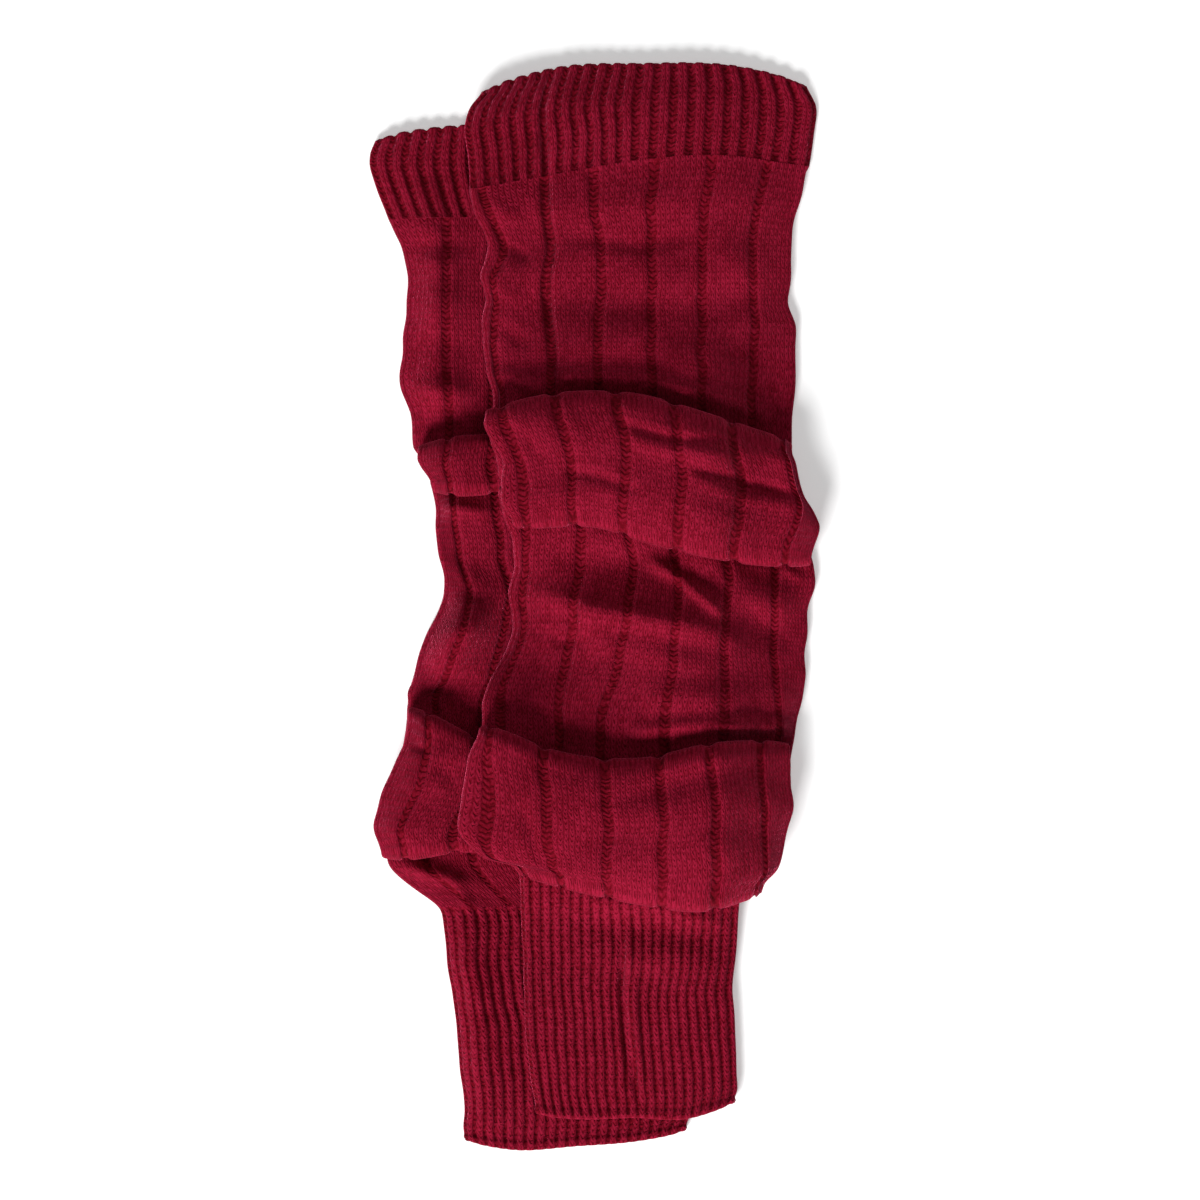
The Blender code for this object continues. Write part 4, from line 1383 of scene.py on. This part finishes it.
class Nodes:
    """Short ways to add and join a material's nodes."""

    def __init__(self, tree: bpy.types.NodeTree) -> None:
        """Work on this node tree."""
        self.tree = tree

    def add(self, kind: str) -> bpy.types.Node:
        """Add a node of this kind."""
        return self.tree.nodes.new(kind)

    def join(self, out: Socket, into: Socket) -> None:
        """Join an output to an input."""
        self.tree.links.new(out, into)

    def math(self, operation: str, *values: Socket | float) -> Socket:
        """Add a sum on sockets or numbers.

        Args:
            operation: The sum's name.
            values: Its terms.

        Returns:
            Its result.
        """
        node = self.add("ShaderNodeMath")
        node.operation = operation
        for socket, value in zip(node.inputs, values):
            if isinstance(value, Socket):
                self.join(value, socket)
            else:
                socket.default_value = value
        return node.outputs[0]

    def plus(self, first: Socket | float, second: Socket | float) -> Socket:
        """The first value plus the second."""
        return self.math("ADD", first, second)

    def minus(self, first: Socket | float, second: Socket | float) -> Socket:
        """The first value less the second."""
        return self.math("SUBTRACT", first, second)

    def times(self, first: Socket | float, second: Socket | float) -> Socket:
        """The first value times the second."""
        return self.math("MULTIPLY", first, second)

    def scaled(self, value: Socket, by: float, onto: Socket | float) -> Socket:
        """A value times a number, added onto another value."""
        return self.math("MULTIPLY_ADD", value, by, onto)

    def hump(self, count: Socket) -> Socket:
        """A half wave over each whole count: the sine of its fraction of a half turn."""
        return self.math("SINE", self.times(self.math("FRACT", count), math.pi))

    def mix_value(self, share: Socket, first: Socket, second: Socket) -> Socket:
        """The first value where the share is 0, and the second where it is 1."""
        node = self.add("ShaderNodeMix")
        node.data_type = "FLOAT"
        for socket, value in zip(node.inputs[:1] + node.inputs[2:4], (share, first, second)):
            self.join(value, socket)
        return node.outputs[0]

    def noise(self, place: Socket, scale: float, detail: float) -> Socket:
        """A soft random value around a half, with this scale and detail."""
        node = self.add("ShaderNodeTexNoise")
        node.inputs["Scale"].default_value = scale
        node.inputs["Detail"].default_value = detail
        self.join(place, node.inputs["Vector"])
        return node.outputs["Fac"]

    def chance(self, wale: Socket, course: Socket) -> Socket:
        """A random value from 0 to 1 for each stitch."""
        pair = self.add("ShaderNodeCombineXYZ")
        for axis, count in zip("XY", (wale, course)):
            self.join(self.math("FLOOR", count), pair.inputs[axis])
        node = self.add("ShaderNodeTexWhiteNoise")
        node.noise_dimensions = "2D"
        self.join(pair.outputs["Vector"], node.inputs["Vector"])
        return node.outputs["Value"]

    def ramp(self, value: Socket, *colours: tuple[float, float, float]) -> Socket:
        """A colour from the first at 0, through those between, to the last at 1."""
        node = self.add("ShaderNodeValToRGB")
        elements = node.color_ramp.elements
        for number in range(1, len(colours) - 1):
            elements.new(number / (len(colours) - 1))
        for element, colour in zip(elements, colours):
            element.color = (*colour, 1.0)
        self.join(value, node.inputs["Fac"])
        return node.outputs["Color"]


@dataclass(frozen=True)
class Lamp:
    """A square soft light that faces the origin: its place and side in metres, its watts."""

    name: str
    place: tuple[float, float, float]
    size: float
    power: float

    def hang(self) -> None:
        """Add the light to the scene, turned towards the origin."""
        data = bpy.data.lights.new(self.name, "AREA")
        data.shape = "SQUARE"
        data.size = self.size
        data.energy = self.power
        lamp = placed(self.name, data)
        lamp.location = self.place
        x, y, z = self.place
        lamp.rotation_euler = (math.atan2(math.hypot(x, y), z), 0.0, math.atan2(x, -y))


@dataclass(frozen=True)
class Studio:
    """A pale floor, soft lights and a camera that looks straight down. Sizes are in metres."""

    view_width: float = 0.480
    view_middle: tuple[float, float] = (0.0012, 0.00308)
    focus_height: float = 0.012
    camera_distance: float = 2.4
    sensor: float = 36.0
    floor_size: float = 6.0
    floor_shade: float = 0.86
    floor_roughness: float = 0.9
    floor_glow: float = 0.32
    sky: float = 0.12
    lamps: tuple[Lamp, ...] = (Lamp("key", (-1.80, -3.95, 2.60), 2.0, 445.0),
                               Lamp("top", (0.2, 0.3, 2.6), 1.4, 6.0),
                               Lamp("back", (0.8, 2.2, 1.1), 1.4, 12.0))

    def floor(self) -> None:
        """Lay a square floor at height 0."""
        half = self.floor_size / 2
        mesh = bpy.data.meshes.new("floor")
        corners = [(-half, -half, 0), (half, -half, 0), (half, half, 0), (-half, half, 0)]
        mesh.from_pydata(corners, [], [(0, 1, 2, 3)])
        floor = placed("floor", mesh)
        material = bpy.data.materials.new("pale_floor")
        material.use_nodes = True
        shader = material.node_tree.nodes["Principled BSDF"]
        for socket, value in (("Base Color", (*(self.floor_shade,) * 3, 1.0)),
                              ("Roughness", self.floor_roughness),
                              ("Emission Color", WHITE), ("Emission Strength", self.floor_glow)):
            shader.inputs[socket].default_value = value
        mesh.materials.append(material)

    def camera(self) -> None:
        """Set the camera straight above the middle of the view."""
        data = bpy.data.cameras.new("camera")
        data.sensor_width = self.sensor
        data.lens = self.sensor * self.camera_distance / self.view_width
        camera = placed("camera", data)
        camera.location = (*self.view_middle, self.camera_distance + self.focus_height)
        bpy.context.scene.camera = camera

    def build(self) -> None:
        """Set up the floor, the lights, the sky and the camera."""
        self.floor()
        for lamp in self.lamps:
            lamp.hang()
        world = bpy.data.worlds.new("studio")
        world.use_nodes = True
        background = world.node_tree.nodes["Background"]
        background.inputs["Color"].default_value = WHITE
        background.inputs["Strength"].default_value = self.sky
        bpy.context.scene.world = world
        bpy.context.scene.view_settings.view_transform = "Standard"
        self.camera()


@dataclass
class Pair:
    """Both leg warmers: the lower one first, then the upper one that rests on it."""

    finishes: tuple[KnitFinish, KnitFinish, KnitFinish] = (
        KnitFinish("wide_rib_knit", Rib.WIDE),
        KnitFinish("plain_knit", Rib.CHANNELS),
        KnitFinish("fine_rib_knit", Rib.FINE))
    pressed: tuple[float, float, float] = (1.35, 0.05, 0.30)
    top_cuff_shares: tuple[float, ...] = (0.0, 0.225, 0.455, 0.735, 1.0)

    def build(self) -> None:
        """Build and dress every piece, attach it to the root body and hide its solid."""
        under = Warmer("under", UNDER_TOP_CUFF, UNDER_LEG, UNDER_ANKLE_CUFF, UNDER_CHANNELS,
                       UNDER_CREASES, Waves(11), pressed=self.pressed,
                       leg_ribbing=UNDER_LEG_RIBBING)
        over = Warmer("over", OVER_TOP_CUFF, OVER_LEG, OVER_ANKLE_CUFF, OVER_CHANNELS,
                      OVER_CREASES, Waves(5), rests_on=RestingField(under.plain_points()),
                      top_cuff_shares=self.top_cuff_shares)
        materials = [finish.material() for finish in self.finishes]
        for warmer, below in ((under, "floor"), (over, "under_leg_knit")):
            for piece, finish, material, held in zip(warmer.build(), self.finishes, materials,
                                                     ("laid", "folded", "laid")):
                piece.data.materials.append(material)
                self.declare(warmer, piece)

    def declare(self, warmer: Warmer, piece: bpy.types.Object) -> None:
        """Attach a piece to the root body and hide the solid that it stands in for.

        Args:
            warmer: The leg warmer it belongs to.
            piece: The piece.
        """
        node = piece.name.removesuffix("_knit")
        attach(piece, "root")
        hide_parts(node)
        rows = getattr(warmer, node.removeprefix(f"{warmer.name}_"))
        piece.data.calc_loop_triangles()


def main() -> None:
    """Build the pair and the studio."""
    logging.basicConfig(level=logging.INFO, format="%(message)s")
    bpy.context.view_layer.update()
    Pair().build()
    Studio().build()


if __name__ == "__main__":
    main()
